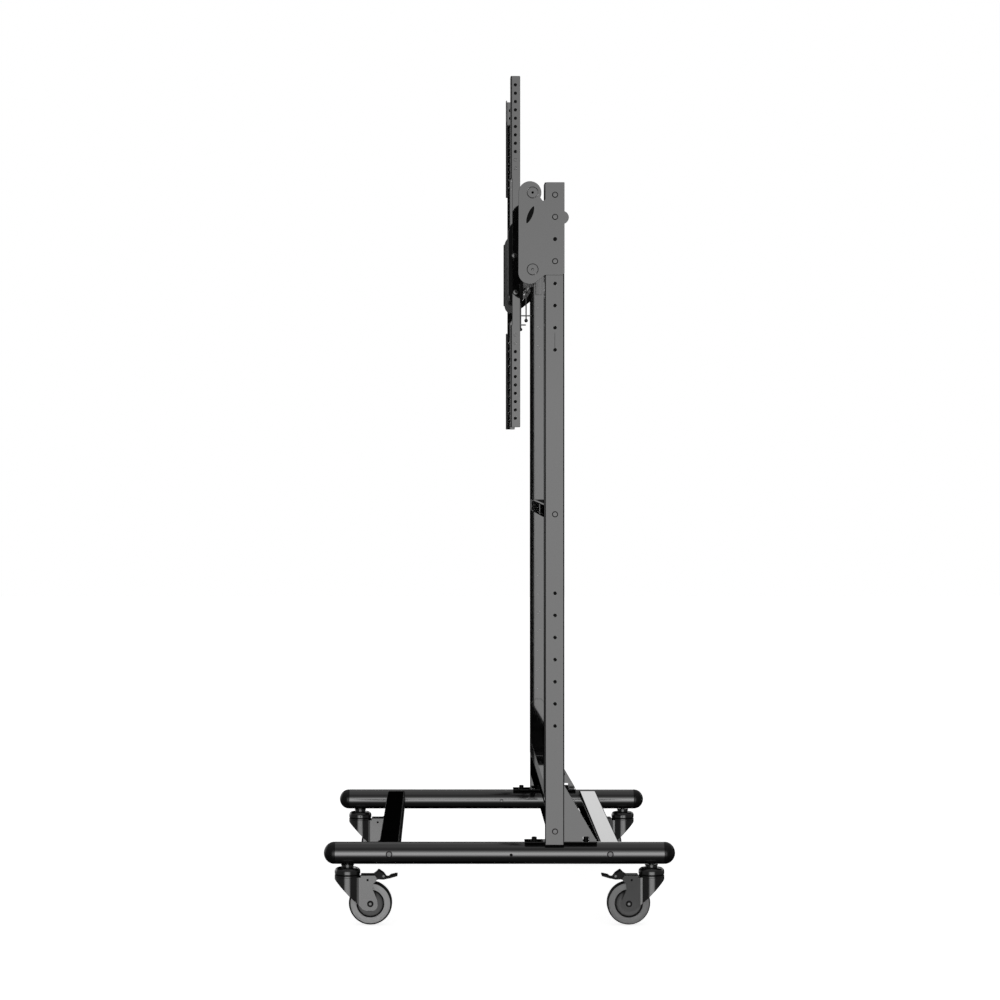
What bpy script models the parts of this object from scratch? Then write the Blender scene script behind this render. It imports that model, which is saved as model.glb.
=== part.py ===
"""A rolling cart for a large television: two round base tubes on four braked casters, two tall channel
columns, and at their top a pair of crosswise rods from which two tilting screen rails hang.

Frame: metres, +Z up, the screen side faces -Y, the floor is z = 0 and the base is centred on the origin.
Right means +X. Dimensions below are in millimetres and are scaled once, where a mesh is made.
"""

import math

import bmesh
import bpy
from mathutils import Matrix, Vector

MM = 0.001

# Fits
SEAT = 0.3
BORE_FIT = 0.3
SLIDE_FIT = 0.35

# Base tubes
TRACK = 965.2
TUBE_D = 50.8
TUBE_WALL = 2.5
BASE_LENGTH = 809.0
CAP_SPIGOT = 16.0

# Crossbars between the tubes
CROSSBAR = 46.0
CROSSBAR_WALL = 2.5
CROSSBAR_Y = 254.0
TIE_ROD_D = 8.0

# Fasteners
DOME_D = 13.9
DOME_H = 4.2
BOLT_D = 8.0
NUT_R = 7.2
NUT_H = 6.0
CAP_HEAD_D = 12.0
CAP_HEAD_H = 8.0
FOOT_BOLT_REACH = 14.0

# Casters
CASTER_INSET = 54.3
TRAIL = 53.0
WHEEL_D = 100.0
WHEEL_W = 31.0
TYRE_INNER_R = 32.0
HUB_R = 11.0
CUP_R = 29.7
CUP_H = 20.7
NECK_R = 15.0
NECK_H = 8.0
STEM_R = 5.5
FORK_RISE = 10.0
FORK_PLATE = 5.0
FORK_OUTER = 20.0
FORK_WALL = 2.5
AXLE_R = 4.0
AXLE_HEAD_R = 7.4
PEDAL_PIN_Y = 46.8
PEDAL_PIN_DROP = 5.4
PEDAL_PIN_R = 2.4
PEDAL_HALF_W = 14.0
PEDAL_REACH = 68.2
PEDAL_GAP = 1.2

# Columns
COLUMN_DEPTH = 45.4
COLUMN_FLANGE = 58.0
COLUMN_T = 3.0
COLUMN_FRONT = 103.3
COLUMN_LENGTH = 1521.2
COLUMN_DROP = 3.8
COLUMN_BEND_R = 3.5
HOLE_D = 8.4
HOLE_PITCH = 50.8
TOP_HOLE_DROP = 28.9
FRONT_NOTCH = 101.0
REAR_NOTCH = 138.0

# Column feet
FOOT_PLATE_T = 6.0
FOOT_FRONT = 57.6
FOOT_REAR = 224.5
FOOT_HALF_W = 22.0
GUSSET_T = 4.0
GUSSET_RISE = 135.5
UPRIGHT_RISE = 244.0
UPRIGHT_CHAMFER = 12.0
FOOT_BOLT_INSET = (22.4, 25.3)
FOOT_JOINT_RISE = 31.0

# Braces between the columns
LOWER_BRACE_RISE = 41.0
LOWER_BRACE_H = 51.0
LOWER_BRACE_DEPTH = 14.0
LOWER_BRACE_TAB = 13.0
MID_BOLT_RISE = 759.2
MID_BRACE_BELOW = 10.2
MID_BRACE_H = 29.0
MID_BRACE_DEPTH = 12.0
MID_BRACE_T = 2.5
BRACE_T = 3.0

# Mount side plates
SIDE_PLATE_T = 3.0
LOBE_R = 26.2
UPPER_LOBE_DROP = 23.9
LOWER_LOBE_DROP = 207.5
LOBE_SHIFT = 6.1
EAR_DROP = 80.8
EAR_R = 15.0
SIDE_PLATE_H = 213.2
NOTCH_DEPTH = 42.9
SLIT_DROP = (55.6, 93.9)
SLIT_SPAN = (-25.4, -41.2)
SLIT_HALF_W = 5.2
MOUNT_BOLT_STEPS = (0, 1, 3)
CLAMP_MARGIN = 14.0

# Rods
ROD_D = 25.4
ROD_WALL = 2.5
ROD_SETBACK = 27.8
UPPER_ROD_DROP = 23.7
LOWER_ROD_DROP = 200.1

# Screen rails and their tilting heads
RAIL_X = 234.2
RAIL_T = 2.5
RAIL_GAP = 71.1
RAIL_DEPTH = 23.1
RAIL_LENGTH = 843.0
RAIL_CENTRE_DROP = 137.3
RAIL_FLANGE = 36.0
RAIL_WINDOW_BELOW = 175.9
RAIL_WINDOW_ABOVE = 175.1
SCREEN_SLOT_L = 84.0
SCREEN_SLOT_W = 8.4
SCREEN_SLOT_INSETS = (60.0, 170.0)
SCREEN_SLOT_SHIFT = 2.0
RAIL_SETBACK = 4.0
RAIL_HOLE_PITCH = 20.0
RAIL_HOLE_D = 8.0
RAIL_HOLE_MARGIN = 10.0
HEAD_PROUD = 6.2
HEAD_H = 196.0
HEAD_CENTRE_DROP = 163.2
HEAD_CORNER = 20.0
HEAD_T = 3.0
HEAD_W = 30.4
HOOK_R = 21.5
TILT_PIVOT_RISE = 26.0
TILT_LOCK_ABOVE = 88.0
TILT_LOCK_SHIFT = 2.8
TILT_MAX = 5.0
LATCH_RISE = 44.0
LATCH_SHIFT = 6.25
LATCH_T = 4.0
LATCH_PIN_R = 3.0
PULL_R = 1.6
PULL_BALL_R = 4.4
PULL_LENGTH = 106.3
GRIP_RISE = 14.4
GRIP_T = 3.2

# Facets of the round pieces
TUBE_FACETS = 24
ROD_FACETS = 18
WHEEL_FACETS = 24
CASTER_FACETS = 18
BOLT_FACETS = 12
HOLE_FACETS = 10

# Places worked out from the sizes
HALF_TRACK = TRACK / 2
TUBE_R = TUBE_D / 2
WHEEL_R = WHEEL_D / 2
CASTER_Y = BASE_LENGTH / 2 - CASTER_INSET
FORK_TOP = WHEEL_D + FORK_RISE
CUP_BOTTOM = FORK_TOP + SEAT
CUP_TOP = CUP_BOTTOM + CUP_H
PEDAL_PIN = (PEDAL_PIN_Y, FORK_TOP - PEDAL_PIN_DROP)
TUBE_BOTTOM = CUP_TOP + NECK_H
TUBE_Z = TUBE_BOTTOM + TUBE_R
TUBE_TOP = TUBE_Z + TUBE_R
TUBE_HALF = BASE_LENGTH / 2 - TUBE_R
COLUMN_OUT = HALF_TRACK + TUBE_R
COLUMN_REAR = COLUMN_FRONT + COLUMN_DEPTH
COLUMN_HOLE_Y = COLUMN_FRONT + COLUMN_DEPTH / 2 + 1
COLUMN_BOTTOM = TUBE_TOP - COLUMN_DROP
COLUMN_TOP = COLUMN_BOTTOM + COLUMN_LENGTH
TOP_HOLE_Z = COLUMN_TOP - TOP_HOLE_DROP
FRONT_NOTCH_TOP = COLUMN_BOTTOM + FRONT_NOTCH
REAR_NOTCH_TOP = COLUMN_BOTTOM + REAR_NOTCH
GUSSET_TOP = COLUMN_BOTTOM + GUSSET_RISE
UPRIGHT_TOP = COLUMN_BOTTOM + UPRIGHT_RISE
FOOT_BOLT_Y = (FOOT_FRONT + FOOT_BOLT_INSET[0], FOOT_REAR - FOOT_BOLT_INSET[1])
FOOT_JOINT_Z = COLUMN_BOTTOM + FOOT_JOINT_RISE
LOWER_BRACE_Z = (COLUMN_BOTTOM + LOWER_BRACE_RISE, COLUMN_BOTTOM + LOWER_BRACE_RISE + LOWER_BRACE_H)
MID_BOLT_Z = COLUMN_BOTTOM + MID_BOLT_RISE
MID_BRACE_Z = (MID_BOLT_Z - MID_BRACE_BELOW, MID_BOLT_Z - MID_BRACE_BELOW + MID_BRACE_H)
ROD_Y = COLUMN_FRONT - ROD_SETBACK
UPPER_ROD = (ROD_Y, COLUMN_TOP - UPPER_ROD_DROP)
LOWER_ROD = (ROD_Y, COLUMN_TOP - LOWER_ROD_DROP)
UPPER_LOBE = (ROD_Y - LOBE_SHIFT, COLUMN_TOP - UPPER_LOBE_DROP)
LOWER_LOBE = (ROD_Y - LOBE_SHIFT - 0.7, COLUMN_TOP - LOWER_LOBE_DROP)
EAR = (COLUMN_REAR - 5.1, COLUMN_TOP - EAR_DROP)
SIDE_PLATE_BOTTOM = COLUMN_TOP - SIDE_PLATE_H
FOOT_BOTTOM = TUBE_TOP + SEAT
FOOT_TOP = FOOT_BOTTOM + FOOT_PLATE_T
ROD_R = ROD_D / 2
GUSSET_OUT = COLUMN_OUT - COLUMN_T - SEAT
GUSSET_IN = GUSSET_OUT - GUSSET_T
PLATE_IN = COLUMN_OUT + SEAT
PLATE_OUT = PLATE_IN + SIDE_PLATE_T
RAIL_FRONT = COLUMN_FRONT - RAIL_GAP
RAIL_BACK = RAIL_FRONT + RAIL_DEPTH
RAIL_CENTRE_Z = COLUMN_TOP - RAIL_CENTRE_DROP
RAIL_TOP = RAIL_CENTRE_Z + RAIL_LENGTH / 2
RAIL_BOTTOM = RAIL_CENTRE_Z - RAIL_LENGTH / 2
RAIL_WINDOW = (RAIL_CENTRE_Z - RAIL_WINDOW_BELOW, RAIL_CENTRE_Z + RAIL_WINDOW_ABOVE)
HEAD_FRONT = RAIL_FRONT - HEAD_PROUD
HEAD_Z = (COLUMN_TOP - HEAD_CENTRE_DROP - HEAD_H / 2, COLUMN_TOP - HEAD_CENTRE_DROP + HEAD_H / 2)
TILT_PIVOT = ((RAIL_FRONT + RAIL_BACK) / 2, HEAD_Z[0] + TILT_PIVOT_RISE)
TILT_LOCK = (TILT_PIVOT[0] - TILT_LOCK_SHIFT, TILT_PIVOT[1] + TILT_LOCK_ABOVE)
LATCH_PIVOT = (TILT_PIVOT[0] + LATCH_SHIFT, HEAD_Z[0] + LATCH_RISE)
HEAD_OUT = RAIL_X - RAIL_T - SEAT
HEAD_IN = HEAD_OUT - HEAD_W
IDENTITY = Matrix.Identity(4)
MIRROR_X = Matrix.Scale(-1, 4, Vector((1, 0, 0)))


# Clearing
for old in list(bpy.data.objects):
    bpy.data.objects.remove(old, do_unlink=True)


def paint(name, colour, metallic, roughness):
    """A plain material. Args: name, RGB colour, metallic, roughness. Returns: the material."""
    material = bpy.data.materials.new(name)
    material.use_nodes = True
    shader = material.node_tree.nodes["Principled BSDF"]
    shader.inputs["Base Color"].default_value = (*colour, 1)
    shader.inputs["Metallic"].default_value = metallic
    shader.inputs["Roughness"].default_value = roughness
    material.diffuse_color = (*colour, 1)
    return material


BLACK_STEEL = paint("black_enamel", (0.035, 0.036, 0.038), 0.2, 0.3)
DARK_STEEL = paint("blackened_steel", (0.05, 0.05, 0.052), 0.8, 0.35)
BLACK_PLASTIC = paint("black_plastic", (0.02, 0.02, 0.021), 0.0, 0.45)
TYRE_GREY = paint("grey_tyre", (0.16, 0.16, 0.165), 0.0, 0.6)


def finish(bm, name, place, material, smooth):
    """Turns a closed bmesh in millimetres into an object, and shades it."""
    bmesh.ops.transform(bm, matrix=Matrix.Scale(MM, 4) @ place, verts=bm.verts)
    bmesh.ops.recalc_face_normals(bm, faces=bm.faces)
    mesh = bpy.data.meshes.new(name)
    bm.to_mesh(mesh)
    bm.free()
    if smooth:
        mesh.polygons.foreach_set("use_smooth", [True] * len(mesh.polygons))
        mesh.set_sharp_from_angle(angle=math.radians(35))
    if material:
        mesh.materials.append(material)
    obj = bpy.data.objects.new(name, mesh)
    bpy.context.scene.collection.objects.link(obj)
    return obj


def spread(axis, a, b, along):
    """A point from its two in-plane coordinates and its place along the axis."""
    if axis == "X":
        return (along, a, b)
    if axis == "Y":
        return (a, along, b)
    return (a, b, along)


def prism(name, outline, axis, low, high, place=IDENTITY, material=None, smooth=False):
    """A straight solid over an outline that lies across the axis."""
    bm = bmesh.new()
    lower = [bm.verts.new(spread(axis, a, b, low)) for a, b in outline]
    upper = [bm.verts.new(spread(axis, a, b, high)) for a, b in outline]
    bm.faces.new(lower[::-1])
    bm.faces.new(upper)
    for i in range(len(outline)):
        j = (i + 1) % len(outline)
        bm.faces.new((lower[i], lower[j], upper[j], upper[i]))
    return finish(bm, name, place, material, smooth)


def add_turned(bm, profile, axis, centre, segments):
    """Adds a turned body to a bmesh. The profile holds (radius, place along the axis)."""
    rings = []
    for radius, along in profile:
        count = segments if radius > 0 else 1
        ring = []
        for k in range(count):
            angle = 2 * math.pi * (k + 0.5) / segments
            a = centre[0] + radius * math.cos(angle)
            b = centre[1] + radius * math.sin(angle)
            ring.append(bm.verts.new(spread(axis, a, b, along)))
        rings.append(ring)
    pairs = list(zip(rings, rings[1:]))
    if profile[0][0] > 0:
        pairs.append((rings[-1], rings[0]))
    for first, second in pairs:
        for k in range(segments):
            n = (k + 1) % segments
            corners = [first[k % len(first)], first[n % len(first)], second[n % len(second)], second[k % len(second)]]
            unique = list(dict.fromkeys(corners))
            if len(unique) > 2:
                bm.faces.new(unique)


def turned(name, profile, axis, centre, segments, place=IDENTITY, material=None):
    """A turned solid, shaded smooth."""
    bm = bmesh.new()
    add_turned(bm, profile, axis, centre, segments)
    return finish(bm, name, place, material, True)


def drill(name, holes, axis, low, high, place=IDENTITY, segments=HOLE_FACETS):
    """Cutters for round holes. Each hole is (centre a, centre b, radius), with the radius to its flats."""
    bm = bmesh.new()
    for a, b, flat_radius in holes:
        radius = flat_radius / math.cos(math.pi / segments)
        add_turned(bm, [(0, low), (radius, low), (radius, high), (0, high)], axis, (a, b), segments)
    return hide(finish(bm, name, place, None, False))


def box(name, low, high, place=IDENTITY, material=None):
    """A box between two corners."""
    outline = [(low[0], low[1]), (high[0], low[1]), (high[0], high[1]), (low[0], high[1])]
    return prism(name, outline, "Z", low[2], high[2], place, material)


def hide(obj):
    """Marks an object as a helper that isn't part of the cart."""
    obj.hide_render = True
    obj.display_type = "WIRE"
    return obj


def combine(obj, other, operation="DIFFERENCE"):
    """Cuts, adds or intersects with a helper."""
    hide(other)
    modifier = obj.modifiers.new(other.name, "BOOLEAN")
    modifier.operation = operation
    modifier.solver = "EXACT"
    modifier.object = other
    return obj


def arc(centre, radius, start, end, steps):
    """Points along an arc, angles in degrees from the first axis."""
    points = []
    for k in range(steps + 1):
        angle = math.radians(start + (end - start) * k / steps)
        points.append((centre[0] + radius * math.cos(angle), centre[1] + radius * math.sin(angle)))
    return points


def slot(centre, length, width, steps=5):
    """An upright slot outline."""
    half = (length - width) / 2
    top = arc((centre[0], centre[1] + half), width / 2, 0, 180, steps)
    bottom = arc((centre[0], centre[1] - half), width / 2, 180, 360, steps)
    return top + bottom


def bolt_profile(start, grip, shank_r, head_r, head_h, end_r=0, end_h=0):
    """A domed head at the start and, when asked for, a nut at the far end of the grip."""
    profile = [
        (0, start + head_h),
        (head_r * 0.62, start + head_h),
        (head_r * 0.9, start + head_h * 0.6),
        (head_r, start),
        (shank_r, start),
    ]
    if end_r:
        profile += [(shank_r, start - grip), (end_r, start - grip), (end_r, start - grip - end_h)]
        profile += [(0, start - grip - end_h)]
    else:
        profile += [(shank_r, start - grip), (0, start - grip)]
    return profile


# Base tubes with their end caps
def base_tube(side, place):
    """One round base tube, drilled for the tie rods, the caster stems and the foot bolts."""
    inner = TUBE_R - TUBE_WALL
    profile = [(TUBE_R, -TUBE_HALF), (TUBE_R, TUBE_HALF), (inner, TUBE_HALF), (inner, -TUBE_HALF)]
    tube = turned("base_tube_" + side, profile, "Y", (HALF_TRACK, TUBE_Z), TUBE_FACETS, place, BLACK_STEEL)
    across = [(y, TUBE_Z, TIE_ROD_D / 2 + BORE_FIT) for y in (-CROSSBAR_Y, CROSSBAR_Y)]
    low, high = HALF_TRACK - TUBE_R - 2, HALF_TRACK + TUBE_R + 2
    combine(tube, drill("cut_tie_" + side, across, "X", low, high, place))
    stems = [(HALF_TRACK, y, STEM_R + BORE_FIT) for y in (-CASTER_Y, CASTER_Y)]
    combine(tube, drill("cut_stem_" + side, stems, "Z", TUBE_BOTTOM - 2, TUBE_BOTTOM + 8, place))
    feet = [(HALF_TRACK, y, BOLT_D / 2 + BORE_FIT) for y in FOOT_BOLT_Y]
    combine(tube, drill("cut_foot_" + side, feet, "Z", TUBE_TOP - 8, TUBE_TOP + 2, place))


def tube_cap(name, end, place):
    """A domed plug in one end of a base tube."""
    spigot = TUBE_R - TUBE_WALL - SEAT
    base = TUBE_HALF + SEAT
    dome = arc((0, base), TUBE_R, 0, 90, 5)[:-1]
    profile = [(0, base + TUBE_R)] + dome[::-1] + [(spigot, base), (spigot, base - CAP_SPIGOT), (0, base - CAP_SPIGOT)]
    profile = [(r, end * along) for r, along in profile]
    turned(name, profile, "Y", (HALF_TRACK, TUBE_Z), TUBE_FACETS, place, BLACK_PLASTIC)


# Crossbars and tie rods
def crossbar(where, y):
    """A square tube between the base tubes, with ends coped to seat on them."""
    half = CROSSBAR / 2
    bar = box("crossbar_" + where, (-HALF_TRACK, y - half, TUBE_Z - half), (HALF_TRACK, y + half, TUBE_Z + half),
              material=BLACK_STEEL)
    hollow = half - CROSSBAR_WALL
    length = HALF_TRACK + 10
    combine(bar, box("cut_hollow_" + where, (-length, y - hollow, TUBE_Z - hollow), (length, y + hollow, TUBE_Z + hollow)))
    bm = bmesh.new()
    for x in (-HALF_TRACK, HALF_TRACK):
        reach = TUBE_R + SEAT
        profile = [(0, y - CROSSBAR), (reach, y - CROSSBAR), (reach, y + CROSSBAR), (0, y + CROSSBAR)]
        add_turned(bm, profile, "Y", (x, TUBE_Z), TUBE_FACETS)
    combine(bar, hide(finish(bm, "cut_cope_" + where, IDENTITY, None, False)))


def tie_rod(where, y):
    """A long bolt through both base tubes and the crossbar, with a domed head at each side."""
    seat = HALF_TRACK + TUBE_R + SEAT
    shank = TIE_ROD_D / 2
    end = [(0, DOME_H), (DOME_D * 0.31, DOME_H), (DOME_D * 0.45, DOME_H * 0.6), (DOME_D / 2, 0), (shank, 0)]
    profile = [(r, seat + h) for r, h in end] + [(r, -seat - h) for r, h in end[::-1]]
    turned("tie_rod_" + where, profile, "X", (y, TUBE_Z), BOLT_FACETS, IDENTITY, DARK_STEEL)


# Casters
def caster(where, x, y, turn):
    """One swivelling caster, drawn with its wheel trailing towards +Y and then turned on its stem."""
    place = Matrix.Translation((x, y, 0)) @ Matrix.Rotation(turn, 4, "Z")
    nut_low = TUBE_BOTTOM + TUBE_WALL + 3
    pin_r = 6.0
    plate_low = FORK_TOP - FORK_PLATE
    profile = [
        (0, nut_low + 12),
        (STEM_R, nut_low + 12),
        (STEM_R, TUBE_BOTTOM - SEAT),
        (NECK_R, TUBE_BOTTOM - SEAT),
        (NECK_R, CUP_TOP + 2),
        (CUP_R - 8, CUP_TOP),
        (CUP_R - 1.2, CUP_TOP - 5),
        (CUP_R, CUP_TOP - 10),
        (CUP_R, CUP_BOTTOM),
        (pin_r, CUP_BOTTOM),
        (pin_r, plate_low - SEAT),
        (pin_r + 4, plate_low - SEAT),
        (pin_r + 4, plate_low - 4),
        (0, plate_low - 4),
    ]
    turned("caster_cup_" + where, profile, "Z", (0, 0), CASTER_FACETS, place, BLACK_STEEL)

    inner = FORK_OUTER - FORK_WALL
    reach = TRAIL + 18
    turns = range(100, -101, -25)
    front = [(CUP_R * math.sin(math.radians(a)), -CUP_R * math.cos(math.radians(a))) for a in turns]
    outline = [(FORK_OUTER, reach), (FORK_OUTER, 17)] + front + [(-FORK_OUTER, 17), (-FORK_OUTER, reach)]
    fork = prism("caster_fork_" + where, outline, "Z", WHEEL_R - 20, FORK_TOP, place, BLACK_STEEL)
    small = CUP_R - FORK_WALL
    hollow = [(small * math.sin(math.radians(a)), -small * math.cos(math.radians(a))) for a in turns]
    hollow = [(inner, reach + 20), (inner, 15.5)] + hollow + [(-inner, 15.5), (-inner, reach + 20)]
    combine(fork, prism("cut_fork_" + where, hollow, "Z", WHEEL_R - 30, plate_low, place))
    top_low = (-inner, PEDAL_PIN_Y - 9.8, plate_low - 2)
    combine(fork, box("cut_fork_top_" + where, top_low, (inner, reach + 20, FORK_TOP + 5), place))
    side = [
        (-CUP_R - 1, FORK_TOP + 1),
        (TRAIL + 16, FORK_TOP + 1),
        (TRAIL + 14, FORK_TOP - 7),
        (TRAIL + 6, FORK_TOP - 15),
        (TRAIL + 6.5, WHEEL_R + 32),
        (TRAIL + 11, WHEEL_R + 20),
        (TRAIL + 16, WHEEL_R + 8),
        (TRAIL + 17, WHEEL_R - 5),
        (TRAIL + 13, WHEEL_R - 13.5),
        (TRAIL + 7, WHEEL_R - 16),
        (TRAIL - 9, WHEEL_R - 16),
        (TRAIL - 17, WHEEL_R - 13.5),
        (TRAIL - 26, WHEEL_R - 4),
        (6, WHEEL_R + 17),
        (-CUP_R - 1, FORK_TOP - 4),
    ]
    combine(fork, prism("keep_fork_" + where, side, "X", -2 * FORK_OUTER, 2 * FORK_OUTER, place), "INTERSECT")
    bores = [(TRAIL, WHEEL_R, AXLE_R + BORE_FIT), (*PEDAL_PIN, PEDAL_PIN_R + BORE_FIT)]
    combine(fork, drill("cut_axle_" + where, bores, "X", -2 * FORK_OUTER, 2 * FORK_OUTER, place))
    race = [(0, 0, pin_r + BORE_FIT)]
    combine(fork, drill("cut_pin_" + where, race, "Z", FORK_TOP - 20, FORK_TOP + 10, place, BOLT_FACETS))

    half = WHEEL_W / 2
    bore = AXLE_R + BORE_FIT
    tread = WHEEL_R / math.cos(math.pi / WHEEL_FACETS)
    rim = [
        (bore, -half),
        (HUB_R, -half),
        (HUB_R + 4, -half + 6),
        (TYRE_INNER_R - 1.5, -half + 6),
        (TYRE_INNER_R, -half + 1.5),
        (tread - 4, -half + 1),
        (tread - 0.8, -half + 5),
        (tread, -half + 9),
    ]
    profile = rim + [(r, -h) for r, h in rim[::-1]]
    turned("caster_wheel_" + where, profile, "X", (TRAIL, WHEEL_R), WHEEL_FACETS, place, TYRE_GREY)

    seat = FORK_OUTER + SEAT
    end = [(0, 3.0), (AXLE_HEAD_R * 0.7, 3.0), (AXLE_HEAD_R, 1.6), (AXLE_HEAD_R, 0), (AXLE_R, 0)]
    profile = [(r, seat + h) for r, h in end] + [(r, -seat - h) for r, h in end[::-1]]
    turned("caster_axle_" + where, profile, "X", (TRAIL, WHEEL_R), BOLT_FACETS, place, DARK_STEEL)

    pin_y = PEDAL_PIN_Y
    lever = [
        (pin_y - 7.8, FORK_TOP - 7),
        (pin_y + 15, FORK_TOP - 7.5),
        (pin_y + 25, FORK_TOP - 5),
        (pin_y + 37, FORK_TOP - 5.5),
        (pin_y + 45, FORK_TOP - 0.5),
        (pin_y + PEDAL_REACH, FORK_TOP + 2.5),
        (pin_y + PEDAL_REACH + 1, FORK_TOP + 7.5),
        (pin_y + 45, FORK_TOP + 6),
        (pin_y + 33, FORK_TOP + 11),
        (pin_y + 25, FORK_TOP + 16.5),
        (pin_y + 19, FORK_TOP + 10),
        (pin_y + 13, FORK_TOP + 8.5),
        (CUP_R + PEDAL_GAP, FORK_TOP + 8.5),
        (CUP_R + PEDAL_GAP, FORK_TOP + PEDAL_GAP),
        (pin_y - 7.8, FORK_TOP + PEDAL_GAP),
    ]
    pedal = prism("caster_brake_" + where, lever, "X", -PEDAL_HALF_W, PEDAL_HALF_W, place, BLACK_STEEL)
    pin = [(0, -FORK_OUTER - 0.5), (PEDAL_PIN_R, -FORK_OUTER - 0.5), (PEDAL_PIN_R, FORK_OUTER + 0.5), (0, FORK_OUTER + 0.5)]
    combine(pedal, hide(turned("add_pin_" + where, pin, "X", PEDAL_PIN, BOLT_FACETS, place)), "UNION")


# Columns
def column_holes():
    """Heights of the accessory holes of a column."""
    steps = list(range(0, 8)) + list(range(18, 25))
    return [TOP_HOLE_Z - HOLE_PITCH * k for k in steps]


def column(side, place):
    """A channel that opens inwards, with its flanges notched at the foot."""
    out, front, rear, t = COLUMN_OUT, COLUMN_FRONT, COLUMN_REAR, COLUMN_T
    tip = out - COLUMN_FLANGE
    bend = COLUMN_BEND_R
    outline = (
        [(tip, front)]
        + arc((out - bend, front + bend), bend, -90, 0, 3)
        + arc((out - bend, rear - bend), bend, 0, 90, 3)
        + [(tip, rear), (tip, rear - t)]
        + [(out - t, rear - t), (out - t, front + t), (tip, front + t)]
    )
    post = prism("column_" + side, outline, "Z", COLUMN_BOTTOM, COLUMN_TOP, place, BLACK_STEEL)
    inner = out - t - 0.05
    front_cut = (tip - 5, front - 5, COLUMN_BOTTOM - 5), (inner, (front + rear) / 2, FRONT_NOTCH_TOP)
    rear_cut = (tip - 5, (front + rear) / 2 - 1, COLUMN_BOTTOM - 5), (inner, rear + 5, REAR_NOTCH_TOP)
    combine(post, box("cut_front_notch_" + side, *front_cut, place))
    combine(post, box("cut_rear_notch_" + side, *rear_cut, place))
    heights = column_holes() + [MID_BOLT_Z, FOOT_JOINT_Z]
    holes = [(COLUMN_HOLE_Y, z, HOLE_D / 2) for z in heights]
    combine(post, drill("cut_column_" + side, holes, "X", out - 10, out + 5, place))


# Column feet
def foot(side, place):
    """A plate on the base tube with an upright that stands inside the column and a rear gusset."""
    plate_low = (HALF_TRACK - FOOT_HALF_W, FOOT_FRONT, FOOT_BOTTOM)
    plate = box("column_foot_" + side, plate_low, (GUSSET_OUT, FOOT_REAR, FOOT_TOP), place, BLACK_STEEL)
    inside_front = COLUMN_FRONT + COLUMN_T + SEAT
    inside_rear = COLUMN_REAR - COLUMN_T - SEAT
    web = [
        (inside_front, FOOT_BOTTOM + 1),
        (FOOT_REAR - 1, FOOT_BOTTOM + 1),
        (FOOT_REAR - 1, FOOT_TOP + 1),
        (COLUMN_REAR + 0.5, GUSSET_TOP),
        (inside_rear, GUSSET_TOP),
        (inside_rear, UPRIGHT_TOP - UPRIGHT_CHAMFER),
        (inside_rear - UPRIGHT_CHAMFER, UPRIGHT_TOP),
        (inside_front + UPRIGHT_CHAMFER, UPRIGHT_TOP),
        (inside_front, UPRIGHT_TOP - UPRIGHT_CHAMFER),
    ]
    combine(plate, prism("add_gusset_" + side, web, "X", GUSSET_IN, GUSSET_OUT, place), "UNION")
    holes = [(COLUMN_HOLE_Y, FOOT_JOINT_Z, HOLE_D / 2)]
    combine(plate, drill("cut_gusset_" + side, holes, "X", GUSSET_IN - 5, GUSSET_OUT + 5, place))
    bolts = [(HALF_TRACK, y, BOLT_D / 2 + BORE_FIT) for y in FOOT_BOLT_Y]
    combine(plate, drill("cut_foot_plate_" + side, bolts, "Z", FOOT_BOTTOM - 5, FOOT_TOP + 5, place))


def foot_bolt(name, y, place):
    """A cap screw through the foot plate into the top of the base tube."""
    seat = FOOT_TOP + SEAT
    r = CAP_HEAD_D / 2
    profile = [
        (0, seat + CAP_HEAD_H),
        (r - 1, seat + CAP_HEAD_H),
        (r, seat + CAP_HEAD_H - 1),
        (r, seat),
        (BOLT_D / 2, seat),
        (BOLT_D / 2, TUBE_TOP - FOOT_BOLT_REACH),
        (0, TUBE_TOP - FOOT_BOLT_REACH),
    ]
    turned(name, profile, "Z", (HALF_TRACK, y), BOLT_FACETS, place, DARK_STEEL)


def joint_bolt(name, z, low, place):
    """A domed bolt through the column web, with its nut on the inner side."""
    seat = COLUMN_OUT + SEAT
    profile = bolt_profile(seat, seat - low + SEAT, BOLT_D / 2, DOME_D / 2, DOME_H, NUT_R, NUT_H)
    turned(name, profile, "X", (COLUMN_HOLE_Y, z), BOLT_FACETS, place, DARK_STEEL)


# Braces
def lower_brace():
    """A channel between the feet, open to the rear, with an end tab on each foot bolt."""
    low, high = LOWER_BRACE_Z
    end = GUSSET_IN - SEAT
    front = COLUMN_FRONT + 1
    depth = COLUMN_HOLE_Y + LOWER_BRACE_TAB
    tab_front = COLUMN_HOLE_Y - LOWER_BRACE_TAB
    tab_low = FOOT_JOINT_Z - LOWER_BRACE_TAB
    tabs = [(front, low), (front, high), (depth, high), (depth, tab_low), (tab_front, tab_low), (tab_front, low)]
    brace = prism("lower_brace", tabs, "X", -end, end, IDENTITY, BLACK_STEEL)
    clear = end - BRACE_T
    back = front + LOWER_BRACE_DEPTH
    combine(brace, box("cut_brace_back", (-clear, back, tab_low - 5), (clear, depth + 5, high + 5)))
    combine(brace, box("cut_brace_low", (-clear, front - 5, tab_low - 5), (clear, depth + 5, low)))
    combine(brace, box("cut_brace_core", (-clear, front + BRACE_T, low + BRACE_T), (clear, back + 2, high - BRACE_T)))
    holes = [(COLUMN_HOLE_Y, FOOT_JOINT_Z, HOLE_D / 2)]
    combine(brace, drill("cut_brace_bolt", holes, "X", -end - 5, end + 5))


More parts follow.
